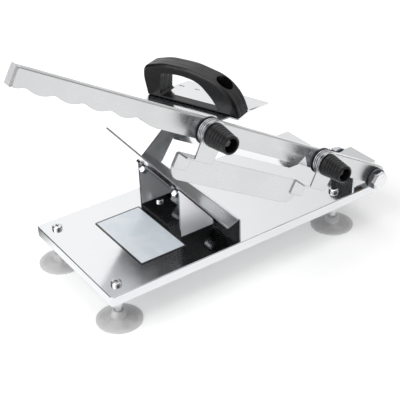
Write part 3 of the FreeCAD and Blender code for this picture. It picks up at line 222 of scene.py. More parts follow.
# %% Handling marks
handling_marks, gin, gout = new_group(
    "handling marks",
    [("Vector", "Vector", None), ("Cloud size", "Float", 22.0), ("Scratch size", "Float", 90.0)],
    [("Clouds", "Float"), ("Scratches", "Float")])
clouds = add(handling_marks, "ShaderNodeTexNoise", in_Detail=3.0, in_Roughness=0.55, in_Distortion=0.6)
join(handling_marks, gin["Vector"], clouds.inputs["Vector"])
join(handling_marks, gin["Cloud size"], clouds.inputs["Scale"])
join(handling_marks, span(handling_marks, clouds.outputs["Fac"], 0.35, 0.68, smooth=True), gout["Clouds"])
scratch_masks = []
for turn, stretch in ((0.5, 0.06), (-1.1, 0.09)):
    swing = add(handling_marks, "ShaderNodeMapping", vector_type="POINT")
    swing.inputs["Rotation"].default_value = (turn * 0.4, turn * 0.7, turn)
    swing.inputs["Scale"].default_value = (stretch, 1.0, 1.0)
    join(handling_marks, gin["Vector"], swing.inputs["Vector"])
    lines = add(handling_marks, "ShaderNodeTexNoise", in_Detail=1.0)
    join(handling_marks, swing.outputs[0], lines.inputs["Vector"])
    join(handling_marks, gin["Scratch size"], lines.inputs["Scale"])
    off = calc(handling_marks, "ABSOLUTE", calc(handling_marks, "SUBTRACT", lines.outputs["Fac"], 0.5))
    thin = span(handling_marks, off, 0.0015, 0.006, 1.0, 0.0)
    scratch_masks.append(thin)
breaks = add(handling_marks, "ShaderNodeTexNoise", in_Scale=40.0, in_Detail=0.0)
join(handling_marks, gin["Vector"], breaks.inputs["Vector"])
kept = span(handling_marks, breaks.outputs["Fac"], 0.56, 0.62)
both = calc(handling_marks, "MAXIMUM", *scratch_masks)
join(handling_marks, calc(handling_marks, "MULTIPLY", both, kept), gout["Scratches"])
print("group:", handling_marks.name)

# %% [markdown]
# **Lathe rings.** Turned parts keep the fine spiral of the tool. The group takes a plain
# distance, along the axis on a shaft or out from the middle on a face, and makes rings of it.

# %% Lathe rings
lathe_rings, gin, gout = new_group(
    "lathe rings",
    [("Distance", "Float", 0.0), ("Pitch", "Float", 0.0004), ("Depth", "Float", 0.2)],
    [("Rings", "Float"), ("Normal", "Vector")])
turns = calc(lathe_rings, "DIVIDE", gin["Distance"], gin["Pitch"])
wave = calc(lathe_rings, "SINE", calc(lathe_rings, "MULTIPLY", turns, 2 * math.pi))
rings = span(lathe_rings, wave, -1.0, 1.0)
ring_bump = add(lathe_rings, "ShaderNodeBump", in_Distance=0.00005)
join(lathe_rings, gin["Depth"], ring_bump.inputs["Strength"])
join(lathe_rings, rings, ring_bump.inputs["Height"])
join(lathe_rings, rings, gout["Rings"])
join(lathe_rings, ring_bump.outputs["Normal"], gout["Normal"])
print("group:", lathe_rings.name)

# %% [markdown]
# **Moulded grain.** Injection moulded plastic copies the etched skin of its tool: tiny
# rounded pits. A small cell pattern with a little noise on it gives that skin. The group
# also gives a slow mask for places that are a bit glossier, as where hands polish it.

# %% Moulded grain
moulded_grain, gin, gout = new_group(
    "moulded grain",
    [("Vector", "Vector", None), ("Pits", "Float", 1600.0), ("Depth", "Float", 0.15)],
    [("Skin", "Float"), ("Polish", "Float"), ("Normal", "Vector")])
pits = add(moulded_grain, "ShaderNodeTexVoronoi", feature="SMOOTH_F1", in_Smoothness=0.6)
join(moulded_grain, gin["Vector"], pits.inputs["Vector"])
join(moulded_grain, gin["Pits"], pits.inputs["Scale"])
skin_noise = add(moulded_grain, "ShaderNodeTexNoise", in_Detail=2.0)
join(moulded_grain, gin["Vector"], skin_noise.inputs["Vector"])
join(moulded_grain, calc(moulded_grain, "MULTIPLY", gin["Pits"], 0.6), skin_noise.inputs["Scale"])
skin = calc(moulded_grain, "MULTIPLY", pits.outputs["Distance"], skin_noise.outputs["Fac"])
polish = add(moulded_grain, "ShaderNodeTexNoise", in_Scale=60.0, in_Detail=2.0)
join(moulded_grain, gin["Vector"], polish.inputs["Vector"])
skin_bump = add(moulded_grain, "ShaderNodeBump", in_Distance=0.0002)
join(moulded_grain, gin["Depth"], skin_bump.inputs["Strength"])
join(moulded_grain, skin, skin_bump.inputs["Height"])
join(moulded_grain, skin, gout["Skin"])
join(moulded_grain, span(moulded_grain, polish.outputs["Fac"], 0.3, 0.7, smooth=True), gout["Polish"])
join(moulded_grain, skin_bump.outputs["Normal"], gout["Normal"])
print("group:", moulded_grain.name)

# %% [markdown]
# ** Settled dust and painted sheen.** Faces that look up collect a faint grey film of dust, and the
# same lighter film stands for a painted sheen where light falls on the tops. The mask is the upward
# part of the surface direction, broken up by noise. It is used weakly, on the rubber cups and the
# plastics. Without it, black plastic would look like a hole in the picture.

# %% Settled dust
dust_and_sheen, gin, gout = new_group(
    "settled dust and painted sheen", [("Vector", "Vector", None), ("Amount", "Float", 0.5)], [("Dust and sheen", "Float")])
surface = add(dust_and_sheen, "ShaderNodeNewGeometry")
upward = add(dust_and_sheen, "ShaderNodeSeparateXYZ")
join(dust_and_sheen, surface.outputs["Normal"], upward.inputs[0])
specks = add(dust_and_sheen, "ShaderNodeTexNoise", in_Scale=220.0, in_Detail=5.0, in_Roughness=0.7)
join(dust_and_sheen, gin["Vector"], specks.inputs["Vector"])
# Dust, and a painted sheen: upward faces get lighter.
dust_and_sheen_film = calc(dust_and_sheen, "MULTIPLY",
            span(dust_and_sheen, upward.outputs["Z"], 0.1, 1.0, smooth=True),
            span(dust_and_sheen, specks.outputs["Fac"], 0.4, 0.75))
join(dust_and_sheen, calc(dust_and_sheen, "MULTIPLY", dust_and_sheen_film, gin["Amount"], clamp=True), gout["Dust and sheen"])
print("group:", dust_and_sheen.name)

# %% [markdown]
# ## Painted dark lines along bends and edges
# A folded or cut edge of real sheet is rounded by a few tenths of a millimetre, and the rounding
# mirrors a dark strip of the room. The solids have sharp edges, so the strip is missing.
# The Bevel node gives the direction that a rounded edge would have; where it departs from
# the true direction, there is an edge near by. That makes a mask where a dark line is painted
# into the colour, a painted reflection of that dark strip.

# %% Edge lines
# The colour of the painted shade along bends and cut edges.
PAINTED_EDGE_SHADE = (0.16, 0.16, 0.17)


def edge_mask(tree, reach):
    """White within reach of a bend or an edge, black on flat sheet."""
    rounded = add(tree, "ShaderNodeBevel", samples=6, in_Radius=reach)
    surface = add(tree, "ShaderNodeNewGeometry")
    agree = add(tree, "ShaderNodeVectorMath", operation="DOT_PRODUCT")
    join(tree, rounded.outputs["Normal"], agree.inputs[0])
    join(tree, surface.outputs["Normal"], agree.inputs[1])
    return span(tree, agree.outputs["Value"], 0.70, 0.985, 1.0, 0.0)


def paint_edge_shade(tree, tint, line):
    """Paint shade as dark lines on the edges of a finish. line is (reach in metres, strength)."""
    reach, strength = line
    return blend_colour(tree, calc(tree, "MULTIPLY", edge_mask(tree, reach), strength), tint, PAINTED_EDGE_SHADE)


print("edge lines ready")

# %% [markdown]
# ## Sheet steel
# The tray, the table, the bracket, the lever and the pusher's plate are all stainless sheet.
# The real one is polished until it mirrors the table around it, yet a close look shows the
# rolling direction. One function makes all of them; each part gets its own grain
# direction, because a folded sheet carries its grain round the folds.
#
# Two of the sheets have faces with painted light and shade of their own. The table was sheared
# to its length; its two long cut edges get painted shade, while the end of its wing gets a pale
# painted highlight. In the photograph the bracket's outer gusset is pale, but its mirror image
# in the tray is dark. No steel does that by itself. Here both are painted, a pale highlight for
# the camera and a dark reflection in mirrors, by a trick with the Light Path node, which knows
# if a ray comes from the camera or from a mirror, and a baked colour can't keep it.

# %% Faces with painted light and shade of their own
# Above this height the wing's top end gets a painted highlight.
PAINTED_HIGHLIGHT_FROM = 0.14
UP_THE_WING = (-math.cos(WING_ANGLE), 0.0, math.sin(WING_ANGLE))


def table_painted_edges(tree, tint, rough):
    """Painted shade on the table's long cut edges, and a pale painted highlight at the top end of its wing.
    """
    # Painted shade on the two long cut edges; the extra roughness there is real.
    cut = span(tree, calc(tree, "ABSOLUTE", facing(tree, (0.0, 1.0, 0.0))), 0.97, 0.985)
    tint = blend_colour(tree, cut, tint, PAINTED_EDGE_SHADE)
    rough = calc(tree, "ADD", rough, calc(tree, "MULTIPLY", cut, 0.25))
    placed = add(tree, "ShaderNodeTexCoord")
    level = add(tree, "ShaderNodeSeparateXYZ")
    join(tree, placed.outputs["Object"], level.inputs[0])
    # Painted highlight: the top end of the wing, pale and rough.
    end = calc(tree, "MULTIPLY", span(tree, facing(tree, UP_THE_WING), 0.12, 0.25),
               span(tree, level.outputs["Z"], PAINTED_HIGHLIGHT_FROM, PAINTED_HIGHLIGHT_FROM + 0.01))
    tint = blend_colour(tree, end, tint, (0.95, 0.95, 0.95))
    rough = calc(tree, "ADD", rough, calc(tree, "MULTIPLY", end, 0.7), clamp=True)
    return tint, rough


def outer_gusset(tree, tint, rough):
    """The bracket's near face: a painted pale highlight to the camera, a painted dark reflection in a
    mirror.
    """
    outer = span(tree, facing(tree, (0.0, 1.0, 0.0)), -0.99, -0.97, 1.0, 0.0)
    rays = add(tree, "ShaderNodeLightPath")
    direct = calc(tree, "MULTIPLY", outer, rays.outputs["Is Camera Ray"])
    mirrored = calc(tree, "MULTIPLY", outer, rays.outputs["Is Glossy Ray"])
    # Painted pale highlight for camera rays, painted dark reflection for mirror rays.
    tint = blend_colour(tree, direct, tint, (0.93, 0.93, 0.94))
    tint = blend_colour(tree, mirrored, tint, (0.03, 0.03, 0.03))
    rough = calc(tree, "ADD", rough, calc(tree, "MULTIPLY", outer, 0.35), clamp=True)
    return tint, rough


print("own finishes: table edges, outer gusset")

# %% Sheet steel


def sheet_steel(name, turn, colour, gloss, lines=2600.0, depth=0.05, axis="Y", line=(0.0006, 0.55),
                own_faces=None):
    """A stainless sheet. turn lays the grain, gloss is (least, most) roughness."""
    mat = bpy.data.materials.new(name)
    mat.use_nodes = True
    tree = mat.node_tree
    steel = tree.nodes["Principled BSDF"]
    steel.inputs["Metallic"].default_value = 1.0
    space = turned_space(tree, turn, axis)
    grain = use(tree, brushed_grain, space, Lines=lines, Stretch=70.0, Depth=depth)
    marks = use(tree, handling_marks, space)
    darker = tuple(c * 0.93 for c in colour)
    tint = blend_colour(tree, grain["Streaks"], darker, colour)
    tint = blend_colour(tree, calc(tree, "MULTIPLY", marks["Scratches"], 0.10), tint, (0.85, 0.85, 0.86))
    rough = span(tree, marks["Clouds"], 0.0, 1.0, gloss[0], gloss[1])
    rough = calc(tree, "ADD", rough, calc(tree, "MULTIPLY", grain["Streaks"], 0.05))
    rough = calc(tree, "ADD", rough, calc(tree, "MULTIPLY", marks["Scratches"], 0.05), clamp=True)
    # Painted shade: dark lines along bends and edges.
    tint = paint_edge_shade(tree, tint, line)
    if own_faces:
        tint, rough = own_faces(tree, tint, rough)
    join(tree, tint, steel.inputs["Base Color"])
    join(tree, rough, steel.inputs["Roughness"])
    join(tree, grain["Normal"], steel.inputs["Normal"])
    return mat


BRIGHT = (0.61, 0.62, 0.63)
SATIN = (0.52, 0.525, 0.53)
CRISP = (0.0009, 0.8)
steel_tray = sheet_steel("polished steel, tray", 0.0, BRIGHT, (0.07, 0.11), line=CRISP)
steel_table = sheet_steel("polished steel, table", -WING_ANGLE, BRIGHT, (0.08, 0.14), line=(0.0003, 0.3),
                          own_faces=table_painted_edges)
# The bracket and the hinge box are darker copies of the same polished steel; the darker colour is painted
# shade.
steel_bracket = sheet_steel("polished steel, bracket", 0.0, (0.54, 0.55, 0.56), (0.08, 0.13),
                            own_faces=outer_gusset)
steel_box = sheet_steel("polished steel, hinge box", 0.0, (0.50, 0.51, 0.52), (0.10, 0.16), line=CRISP)
steel_pusher = sheet_steel("polished steel, pusher", HANDLE_TURN, BRIGHT, (0.12, 0.18), axis="Z")
steel_lever = sheet_steel("satin steel, lever", -REST_ANGLE, SATIN, (0.24, 0.32), 2200.0, 0.10,
                          line=(0.0011, 0.8))
steel_gauge = sheet_steel("satin steel, gauge", -REST_ANGLE, SATIN, (0.24, 0.32), 2200.0, 0.10,
                          line=(0.0011, 0.8))
print("sheet steel: 7 materials")

# %% [markdown]
# ## The knife
# The blade is flat knife steel, ground across its width, with a bevel ground once more and
# finer along the edge. The bevel is found by its height on the raised lever: below the
# grinding line the grain turns square to the edge and the surface is glossier, and its
# colour is lighter as a painted highlight.

# %% Knife steel
GRINDING_LINE = -0.0090
knife_steel = bpy.data.materials.new("ground knife steel")
knife_steel.use_nodes = True
tree = knife_steel.node_tree
steel = tree.nodes["Principled BSDF"]
steel.inputs["Metallic"].default_value = 1.0
level = add(tree, "ShaderNodeMapping", vector_type="POINT")
pivot = lever_place(0, 0, 0)
turn_back = Matrix.Rotation(-REST_ANGLE, 3, "Y")
level.inputs["Location"].default_value = -(turn_back @ pivot)
level.inputs["Rotation"].default_value = (0.0, -REST_ANGLE, 0.0)
coords = add(tree, "ShaderNodeTexCoord")
join(tree, coords.outputs["Object"], level.inputs["Vector"])
height = add(tree, "ShaderNodeSeparateXYZ")
join(tree, level.outputs[0], height.inputs[0])
bevel = span(tree, height.outputs["Z"], GRINDING_LINE, GRINDING_LINE + 0.0004, 1.0, 0.0)
body_grain = use(tree, brushed_grain, level.outputs[0], Lines=1800.0, Stretch=50.0, Depth=0.12)
across = add(tree, "ShaderNodeMapping", vector_type="POINT")
across.inputs["Rotation"].default_value = (0.0, math.radians(90), 0.0)
join(tree, level.outputs[0], across.inputs["Vector"])
edge_grain = use(tree, brushed_grain, across.outputs[0], Lines=3200.0, Stretch=40.0, Depth=0.10)
marks = use(tree, handling_marks, level.outputs[0])
tint = blend_colour(tree, body_grain["Streaks"], (0.44, 0.45, 0.46), (0.54, 0.55, 0.56))
# The bevel's lighter colour is a painted highlight; its finer grain and gloss are real.
tint = blend_colour(tree, bevel, tint, (0.64, 0.65, 0.66))
join(tree, tint, steel.inputs["Base Color"])
rough = span(tree, marks["Clouds"], 0.0, 1.0, 0.15, 0.24)
rough = calc(tree, "SUBTRACT", rough, calc(tree, "MULTIPLY", bevel, 0.05), clamp=True)
join(tree, rough, steel.inputs["Roughness"])
pick = add(tree, "ShaderNodeMix", data_type="VECTOR")
join(tree, bevel, pick.inputs["Factor"])
join(tree, body_grain["Normal"], pick.inputs[4])
join(tree, edge_grain["Normal"], pick.inputs[5])
join(tree, pick.outputs[1], steel.inputs["Normal"])
print("material:", knife_steel.name)

# %% [markdown]
# ## Turned and plated steel
# Screws and the hinge bolt are bright plated; the posts and sleeves are turned and left bare;
# the nuts are zinc plated, a little blue and duller. The studs, the washers of the hinge and
# the rings at the lever get a near-black colour as painted shade, the shade in the gaps between
# the bright pieces and in the knob's hollow, so that they part the bright pieces from each
# other. All of them come from one function, because they differ only in colour, gloss and
# ring pitch.

# %% Turned steel


def turned_steel(name, colour, gloss, pitch, depth, axis):
    """Small round steel parts with the rings of the lathe along an axis."""
    mat = bpy.data.materials.new(name)
    mat.use_nodes = True
    tree = mat.node_tree
    steel = tree.nodes["Principled BSDF"]
    steel.inputs["Metallic"].default_value = 1.0
    space = turned_space(tree)
    parts = add(tree, "ShaderNodeSeparateXYZ")
    join(tree, space, parts.inputs[0])
    marks = use(tree, handling_marks, space, Cloud_size=160.0, Scratch_size=400.0)
    cut = use(tree, lathe_rings, Distance=parts.outputs[axis], Pitch=pitch, Depth=depth)
    darker = tuple(c * 0.86 for c in colour)
    shade = calc(tree, "MULTIPLY", marks["Clouds"], span(tree, cut["Rings"], 0.0, 1.0, 0.7, 1.0))
    # Painted shade: dark lines along the edges.
    tint = paint_edge_shade(tree, blend_colour(tree, shade, darker, colour), (0.0008, 0.9))
    join(tree, tint, steel.inputs["Base Color"])
    rough = span(tree, marks["Clouds"], 0.0, 1.0, gloss[1], gloss[0])
    join(tree, calc(tree, "ADD", rough, calc(tree, "MULTIPLY", marks["Scratches"], 0.2), clamp=True),
         steel.inputs["Roughness"])
    join(tree, cut["Normal"], steel.inputs["Normal"])
    return mat


PLATED = (0.64, 0.64, 0.65)
PLATED_BOLT = (0.66, 0.66, 0.67)
BARE = (0.55, 0.56, 0.57)
plated_flat = turned_steel("bright plated, upright", PLATED, (0.06, 0.14), 0.0005, 0.06, "Z")
plated_side = turned_steel("bright plated, level", PLATED_BOLT, (0.06, 0.14), 0.0005, 0.06, "Y")
bare_flat = turned_steel("turned steel, upright", BARE, (0.16, 0.26), 0.0006, 0.25, "Z")
bare_side = turned_steel("turned steel, level", BARE, (0.16, 0.26), 0.0006, 0.25, "Y")
# Dark steel as painted shade in the gaps between bright pieces and in the knob's hollow.
painted_shade_steel = turned_steel("dark steel as painted shade, level", (0.10, 0.10, 0.11), (0.28, 0.40), 0.0006, 0.25, "Y")
zinc = turned_steel("zinc plated", (0.50, 0.52, 0.56), (0.24, 0.36), 0.0007, 0.10, "Z")
wire = turned_steel("drawn spring wire", (0.48, 0.49, 0.51), (0.18, 0.28), 0.0003, 0.10, "X")
brass = turned_steel("turned brass", (0.66, 0.48, 0.20), (0.18, 0.28), 0.0005, 0.20, "Y")
print("turned and plated: 8 materials")

# %% [markdown]
# ## Black plastic
# The handle and the knobs are moulded in black, and the plug in the lever's end in pale grey.
# Black plastic shows its form only by its soft highlights. The colour is close to
# nothing here, and the roughness does the work.

# %% Moulded plastic


def moulded_plastic(name, colour, gloss, pits):
    """Moulded plastic. Returns the material, its tree, its shader and its skin."""
    mat = bpy.data.materials.new(name)
    mat.use_nodes = True
    tree = mat.node_tree
    plastic = tree.nodes["Principled BSDF"]
    plastic.inputs["Specular IOR Level"].default_value = 0.28
    space = turned_space(tree)
    skin = use(tree, moulded_grain, space, Pits=pits, Depth=0.18)
    dust_sheen = use(tree, dust_and_sheen, space, Amount=0.35)
    lighter = tuple(c * 1.6 for c in colour)
    tint = blend_colour(tree, skin["Skin"], colour, lighter)
    # Settled dust, and a painted sheen on the upward faces.
    tint = blend_colour(tree, calc(tree, "MULTIPLY", dust_sheen["Dust and sheen"], 0.04), tint, (0.35, 0.34, 0.33))
    join(tree, tint, plastic.inputs["Base Color"])
    rough = span(tree, skin["Polish"], 0.0, 1.0, gloss[1], gloss[0])
    join(tree, calc(tree, "ADD", rough, calc(tree, "MULTIPLY", dust_sheen["Dust and sheen"], 0.1), clamp=True),
         plastic.inputs["Roughness"])
    join(tree, skin["Normal"], plastic.inputs["Normal"])
    return mat, tree, plastic, skin


knob_black = moulded_plastic("black plastic, knobs", (0.006, 0.006, 0.007), (0.24, 0.34), 1500.0)[0]
cap_grey = moulded_plastic("pale grey plastic, cap", (0.42, 0.42, 0.43), (0.35, 0.48), 1500.0)[0]
handle_black, tree, plastic, skin = moulded_plastic(
    "black plastic, handle", (0.005, 0.005, 0.006), (0.22, 0.32), 1300.0)
print("moulded plastic: 3 materials")

# %% [markdown]
# **The grooves on the handle.** Two shallow grooves run along its crown. They are only half a
# millimetre deep, so a bump is enough. It works by the distance from the handle's own
# middle plane, which is turned a little against the tray.

# %% Handle grooves
GROOVE_AT = 0.0042
GROOVE_WIDTH = 0.0011
sideways = add(tree, "ShaderNodeVectorMath", operation="DOT_PRODUCT")
sideways.inputs[1].default_value = (math.cos(HANDLE_TURN), math.sin(HANDLE_TURN), 0.0)
handle_coords = add(tree, "ShaderNodeTexCoord")
join(tree, handle_coords.outputs["Object"], sideways.inputs[0])
centre = place(*HANDLE_MIDDLE)
middle = centre.x * math.cos(HANDLE_TURN) + centre.y * math.sin(HANDLE_TURN)
aside = calc(tree, "ABSOLUTE", calc(tree, "SUBTRACT", sideways.outputs["Value"], middle))
near_groove = calc(tree, "ABSOLUTE", calc(tree, "SUBTRACT", aside, GROOVE_AT))
groove = span(tree, near_groove, GROOVE_WIDTH / 2, GROOVE_WIDTH, 0.0, 1.0, smooth=True)
groove_bump = add(tree, "ShaderNodeBump", in_Strength=1.0, in_Distance=0.0006)
join(tree, groove, groove_bump.inputs["Height"])
join(tree, skin["Normal"], groove_bump.inputs["Normal"])
join(tree, groove_bump.outputs["Normal"], plastic.inputs["Normal"])
print("grooves", GROOVE_AT * 1000, "mm either side of the middle")

# %% [markdown]
# ## Soft rubber
# The suction cups are cloudy grey and let a little light through. Subsurface scattering
# gives that softness. They were turned in their mould, so they carry faint
# rings round each foot. All four feet stand the same distance from the middle of
# the bench plane, so the absolute value of x and y folds them onto one foot.

# %% Cup rubber
FOOT_X, FOOT_Y = 0.13825, 0.060
RIM_FROM, RIM_TO = 0.018, 0.0235
cup_rubber = bpy.data.materials.new("cloudy cup rubber")
cup_rubber.use_nodes = True
tree = cup_rubber.node_tree
rubber = tree.nodes["Principled BSDF"]
rubber.inputs["Subsurface Weight"].default_value = 0.35
rubber.inputs["Subsurface Scale"].default_value = 0.004
rubber.inputs["Subsurface Radius"].default_value = (1.0, 1.0, 1.0)
rubber.inputs["Coat Weight"].default_value = 0.12
space = turned_space(tree)
fold = add(tree, "ShaderNodeSeparateXYZ")
join(tree, space, fold.inputs[0])
to_x = calc(tree, "SUBTRACT", calc(tree, "ABSOLUTE", fold.outputs["X"]), FOOT_X)
to_y = calc(tree, "SUBTRACT", calc(tree, "ABSOLUTE", fold.outputs["Y"]), FOOT_Y)
radius = calc(tree, "SQRT", calc(tree, "ADD", calc(tree, "MULTIPLY", to_x, to_x),
                                 calc(tree, "MULTIPLY", to_y, to_y)))
mould = use(tree, lathe_rings, Distance=radius, Pitch=0.0022, Depth=0.5)
clouding = use(tree, handling_marks, space, Cloud_size=70.0)
dust_sheen = use(tree, dust_and_sheen, space, Amount=0.6)
tint = blend_colour(tree, clouding["Clouds"], (0.46, 0.455, 0.46), (0.58, 0.575, 0.58))
tint = blend_colour(tree, span(tree, radius, RIM_FROM, RIM_TO), tint, (0.66, 0.66, 0.665))
# Settled dust, and a painted sheen on the upward faces.
join(tree, blend_colour(tree, calc(tree, "MULTIPLY", dust_sheen["Dust and sheen"], 0.3), tint, (0.7, 0.7, 0.69)),
     rubber.inputs["Base Color"])
join(tree, span(tree, clouding["Clouds"], 0.0, 1.0, 0.30, 0.46), rubber.inputs["Roughness"])
join(tree, mould["Normal"], rubber.inputs["Normal"])
print("material:", cup_rubber.name)

# %% [markdown]
# ## The bare plate on the tray
# The pale panel that such machines carry is left bare here. It has a thin dark border,
# drawn by the distance to its own edges, and the slightly wavy gloss of a coated label.

# %% Bare plate
PLATE_LENGTH, PLATE_WIDTH = 0.055, 0.092
PLATE_MIDDLE = place(51.0, 28.5, 0) + Vector((PLATE_LENGTH, PLATE_WIDTH, 0)) / 2
BORDER = 0.0018
panel = bpy.data.materials.new("pale coated panel")
panel.use_nodes = True
tree = panel.node_tree
coating = tree.nodes["Principled BSDF"]
coating.inputs["Coat Weight"].default_value = 0.5
coating.inputs["Coat Roughness"].default_value = 0.12
space = turned_space(tree)
flat = add(tree, "ShaderNodeSeparateXYZ")
join(tree, space, flat.inputs[0])
from_x = calc(tree, "ABSOLUTE", calc(tree, "SUBTRACT", flat.outputs["X"], PLATE_MIDDLE.x))
from_y = calc(tree, "ABSOLUTE", calc(tree, "SUBTRACT", flat.outputs["Y"], PLATE_MIDDLE.y))
edge = calc(tree, "MAXIMUM", calc(tree, "SUBTRACT", from_x, PLATE_LENGTH / 2),
            calc(tree, "SUBTRACT", from_y, PLATE_WIDTH / 2))
dark = span(tree, edge, -BORDER - 0.00015, -BORDER + 0.00015)
ripple = add(tree, "ShaderNodeTexNoise", in_Scale=260.0, in_Detail=2.0)
join(tree, space, ripple.inputs["Vector"])
marks = use(tree, handling_marks, space, Cloud_size=45.0)
paper = blend_colour(tree, marks["Clouds"], (0.70, 0.76, 0.81), (0.78, 0.82, 0.86))
join(tree, blend_colour(tree, dark, paper, (0.012, 0.012, 0.016)), coating.inputs["Base Color"])
join(tree, span(tree, ripple.outputs["Fac"], 0.3, 0.7, 0.28, 0.40), coating.inputs["Roughness"])
wavy = add(tree, "ShaderNodeBump", in_Strength=0.15, in_Distance=0.0002)
join(tree, ripple.outputs["Fac"], wavy.inputs["Height"])
join(tree, wavy.outputs["Normal"], coating.inputs["Normal"])
print("material:", panel.name)

# %% [markdown]
# ## Who wears what
# The CAD nodes keep their meshes and only change their material. The table lists every
# node once; a name that is missing would show at once in the count.

# %% Dress the CAD nodes
wardrobe = {
    steel_tray: ["base_plate"],
    steel_table: ["feed_table"],
    steel_bracket: ["table_bracket"],
    steel_box: ["hinge_bracket"],
    steel_pusher: ["pusher_plate"],
    steel_lever: ["lever_arm"],
    steel_gauge: ["gauge_plate", "gauge_ear_left", "gauge_ear_right"],
    knife_steel: ["blade"],
    plated_flat: ["foot_screws", "bracket_screws", "table_screws", "hinge_bracket_screws", "handle_screws"],
    plated_side: ["hinge_bolt", "gauge_rings", "blade_screws"],
    bare_flat: ["foot_posts"],
    bare_side: ["hinge_spacer", "hinge_sleeve"],
    # Painted shade: dark studs, hinge washers and lever rings.
    painted_shade_steel: ["gauge_studs", "hinge_washers", "lever_rings"],
    zinc: ["bracket_nuts", "table_nuts", "table_washers", "hinge_bracket_nuts", "hinge_lock_nut",
           "blade_nuts"],
    wire: ["gauge_spring_left", "gauge_spring_right"],
    brass: ["lever_bush", "knob_insert_left", "knob_insert_right"],
    knob_black: ["gauge_knob_left", "gauge_knob_right"],
    cap_grey: ["lever_end_cap"],
    handle_black: ["pusher_handle"],
    cup_rubber: [name for name in nodes if name.startswith("suction_cup_")],
    panel: ["name_plate"],
}
dressed = set()
for finish, names in wardrobe.items():
    for name in names:
        mesh = nodes[name].data
        mesh.materials.clear()
        mesh.materials.append(finish)
        dressed.add(name)
print(len(dressed), "of", len(nodes), "nodes dressed; left:", sorted(set(nodes) - dressed))

# %% [markdown]
# ## Screw threads
# Where a stud or bolt shows its end, a smooth rod would give it away as a drawing. A real
# thread is a helical ridge. It is built as a strip of quads that winds up the rod: for each
# small step the profile goes from the root out to the crest and back. A texture could
# fake it, but the outline of the end would stay smooth.

# %% Screw threads


def thread(name, start, direction, length, root, crest, pitch, body, finish):
    """A helical ridge round a rod from start along direction, riding on a body."""
    direction = direction.normalized()
    side = direction.orthogonal().normalized()
    other = direction.cross(side)
    steps = 24
    total = int(length / pitch * steps)
    foot = root * 0.98
    mesh = bmesh.new()
    before = None
    for i in range(total + 1):
        angle = 2 * math.pi * i / steps
        fade = min(1.0, i / steps, (total - i) / steps)
        out = side * math.cos(angle) + other * math.sin(angle)
        along = start + direction * (pitch * i / steps)
        top = root + (crest - root) * fade
        profile = ((foot, -0.45), (top, -0.08), (top, 0.08), (foot, 0.45))
        ring = [mesh.verts.new(along + out * r + direction * pitch * h) for r, h in profile]
        if before:
            for a in range(3):
                mesh.faces.new((before[a], before[a + 1], ring[a + 1], ring[a]))
        before = ring
    data = bpy.data.meshes.new(name)
    mesh.to_mesh(data)
    mesh.free()
    piece = bpy.data.objects.new(name, data)
    bpy.context.collection.objects.link(piece)
    for face in data.polygons:
        face.use_smooth = True
    data.materials.append(finish)
    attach(piece, body)
    print(name, len(data.polygons), "faces")
    return piece


OUTWARD = Vector((0, -1, 0))
STUDS = (("left", 251.5), ("right", 90.5))
STUD_HEIGHT = 2.7
PAST_THE_INSERT = -35.5
PAST_THE_NUT = 55.6
for side, u in STUDS:
    thread("stud_thread_" + side, lever_place(u, PAST_THE_INSERT, STUD_HEIGHT), OUTWARD,
           0.0042, 0.0029, 0.00335, 0.001, "lever", painted_shade_steel)
thread("hinge_bolt_thread", place(HINGE[0], PAST_THE_NUT, HINGE[1]), -OUTWARD,
       0.0040, 0.0049, 0.0055, 0.0015, "base", plated_side)

# %% [markdown]
# ## The camera
# The photograph was taken from in front of the near left corner, looking down by about a
# third of a right angle, with a long lens. Its place was worked out from the straight
# edges of the tray. Blender's camera looks along its own -Z, so the three directions below
# are the columns of its rotation.

# %% Camera
CAMERA_PLACE = Vector((-0.49005, -0.73039, 0.61348))
AIM = math.radians(-33.99)
DIP = math.radians(32.43)
ROLL = math.radians(-1.9)
LONG_LENS = 88.12
forward = Vector((-math.sin(AIM) * math.cos(DIP), math.cos(AIM) * math.cos(DIP), -math.sin(DIP)))
level_right = Vector((math.cos(AIM), math.sin(AIM), 0))
level_up = level_right.cross(forward)
right = level_right * math.cos(ROLL) + level_up * math.sin(ROLL)
up = level_up * math.cos(ROLL) - level_right * math.sin(ROLL)
camera = bpy.data.objects.new("camera", bpy.data.cameras.new("camera"))
camera.data.sensor_width = 36.0
camera.data.lens = LONG_LENS
camera.matrix_world = Matrix.Translation(CAMERA_PLACE) @ Matrix((right, up, -forward)).transposed().to_4x4()
bpy.context.collection.objects.link(camera)
bpy.context.scene.camera = camera
print("camera at", tuple(round(c, 3) for c in camera.location))

# %% [markdown]
# ## The floor
# Polished steel shows nothing but its surroundings, so the surroundings are what is lit
# here. The floor is pale and adds a little light of its own, more of it far away, so that it
# reads as white up to the horizon while it keeps the shadow of the object. Near the part it
# looks brighter in the steel. Behind the part on the left, mirrors see a dark cloth on it,
# and the camera sees plain floor. That is a trick too. It gives the table's underside, and
# with it the tray, the sharp dark shapes that the photograph has.

# %% Floor
REACH = 4.0
CLOTH_LEFT, CLOTH_RIGHT, CLOTH_NEAR = -0.39, -0.06, 0.08
floor_mesh = bpy.data.meshes.new("floor")
floor_mesh.from_pydata([(-REACH, -REACH, 0), (REACH, -REACH, 0), (REACH, REACH, 0), (-REACH, REACH, 0)],
                       [], [(0, 1, 2, 3)])
floor = bpy.data.objects.new("floor", floor_mesh)
bpy.context.collection.objects.link(floor)
paper = bpy.data.materials.new("floor paper")
paper.use_nodes = True
tree = paper.node_tree
sheet = tree.nodes["Principled BSDF"]
sheet.inputs["Roughness"].default_value = 0.9
sheet.inputs["Specular IOR Level"].default_value = 0.1
sheet.inputs["Emission Color"].default_value = (1.0, 1.0, 1.0, 1.0)
rays = add(tree, "ShaderNodeLightPath")
ground = add(tree, "ShaderNodeTexCoord")
ground_flat = add(tree, "ShaderNodeSeparateXYZ")
join(tree, ground.outputs["Object"], ground_flat.inputs[0])
distance = add(tree, "ShaderNodeVectorMath", operation="LENGTH")
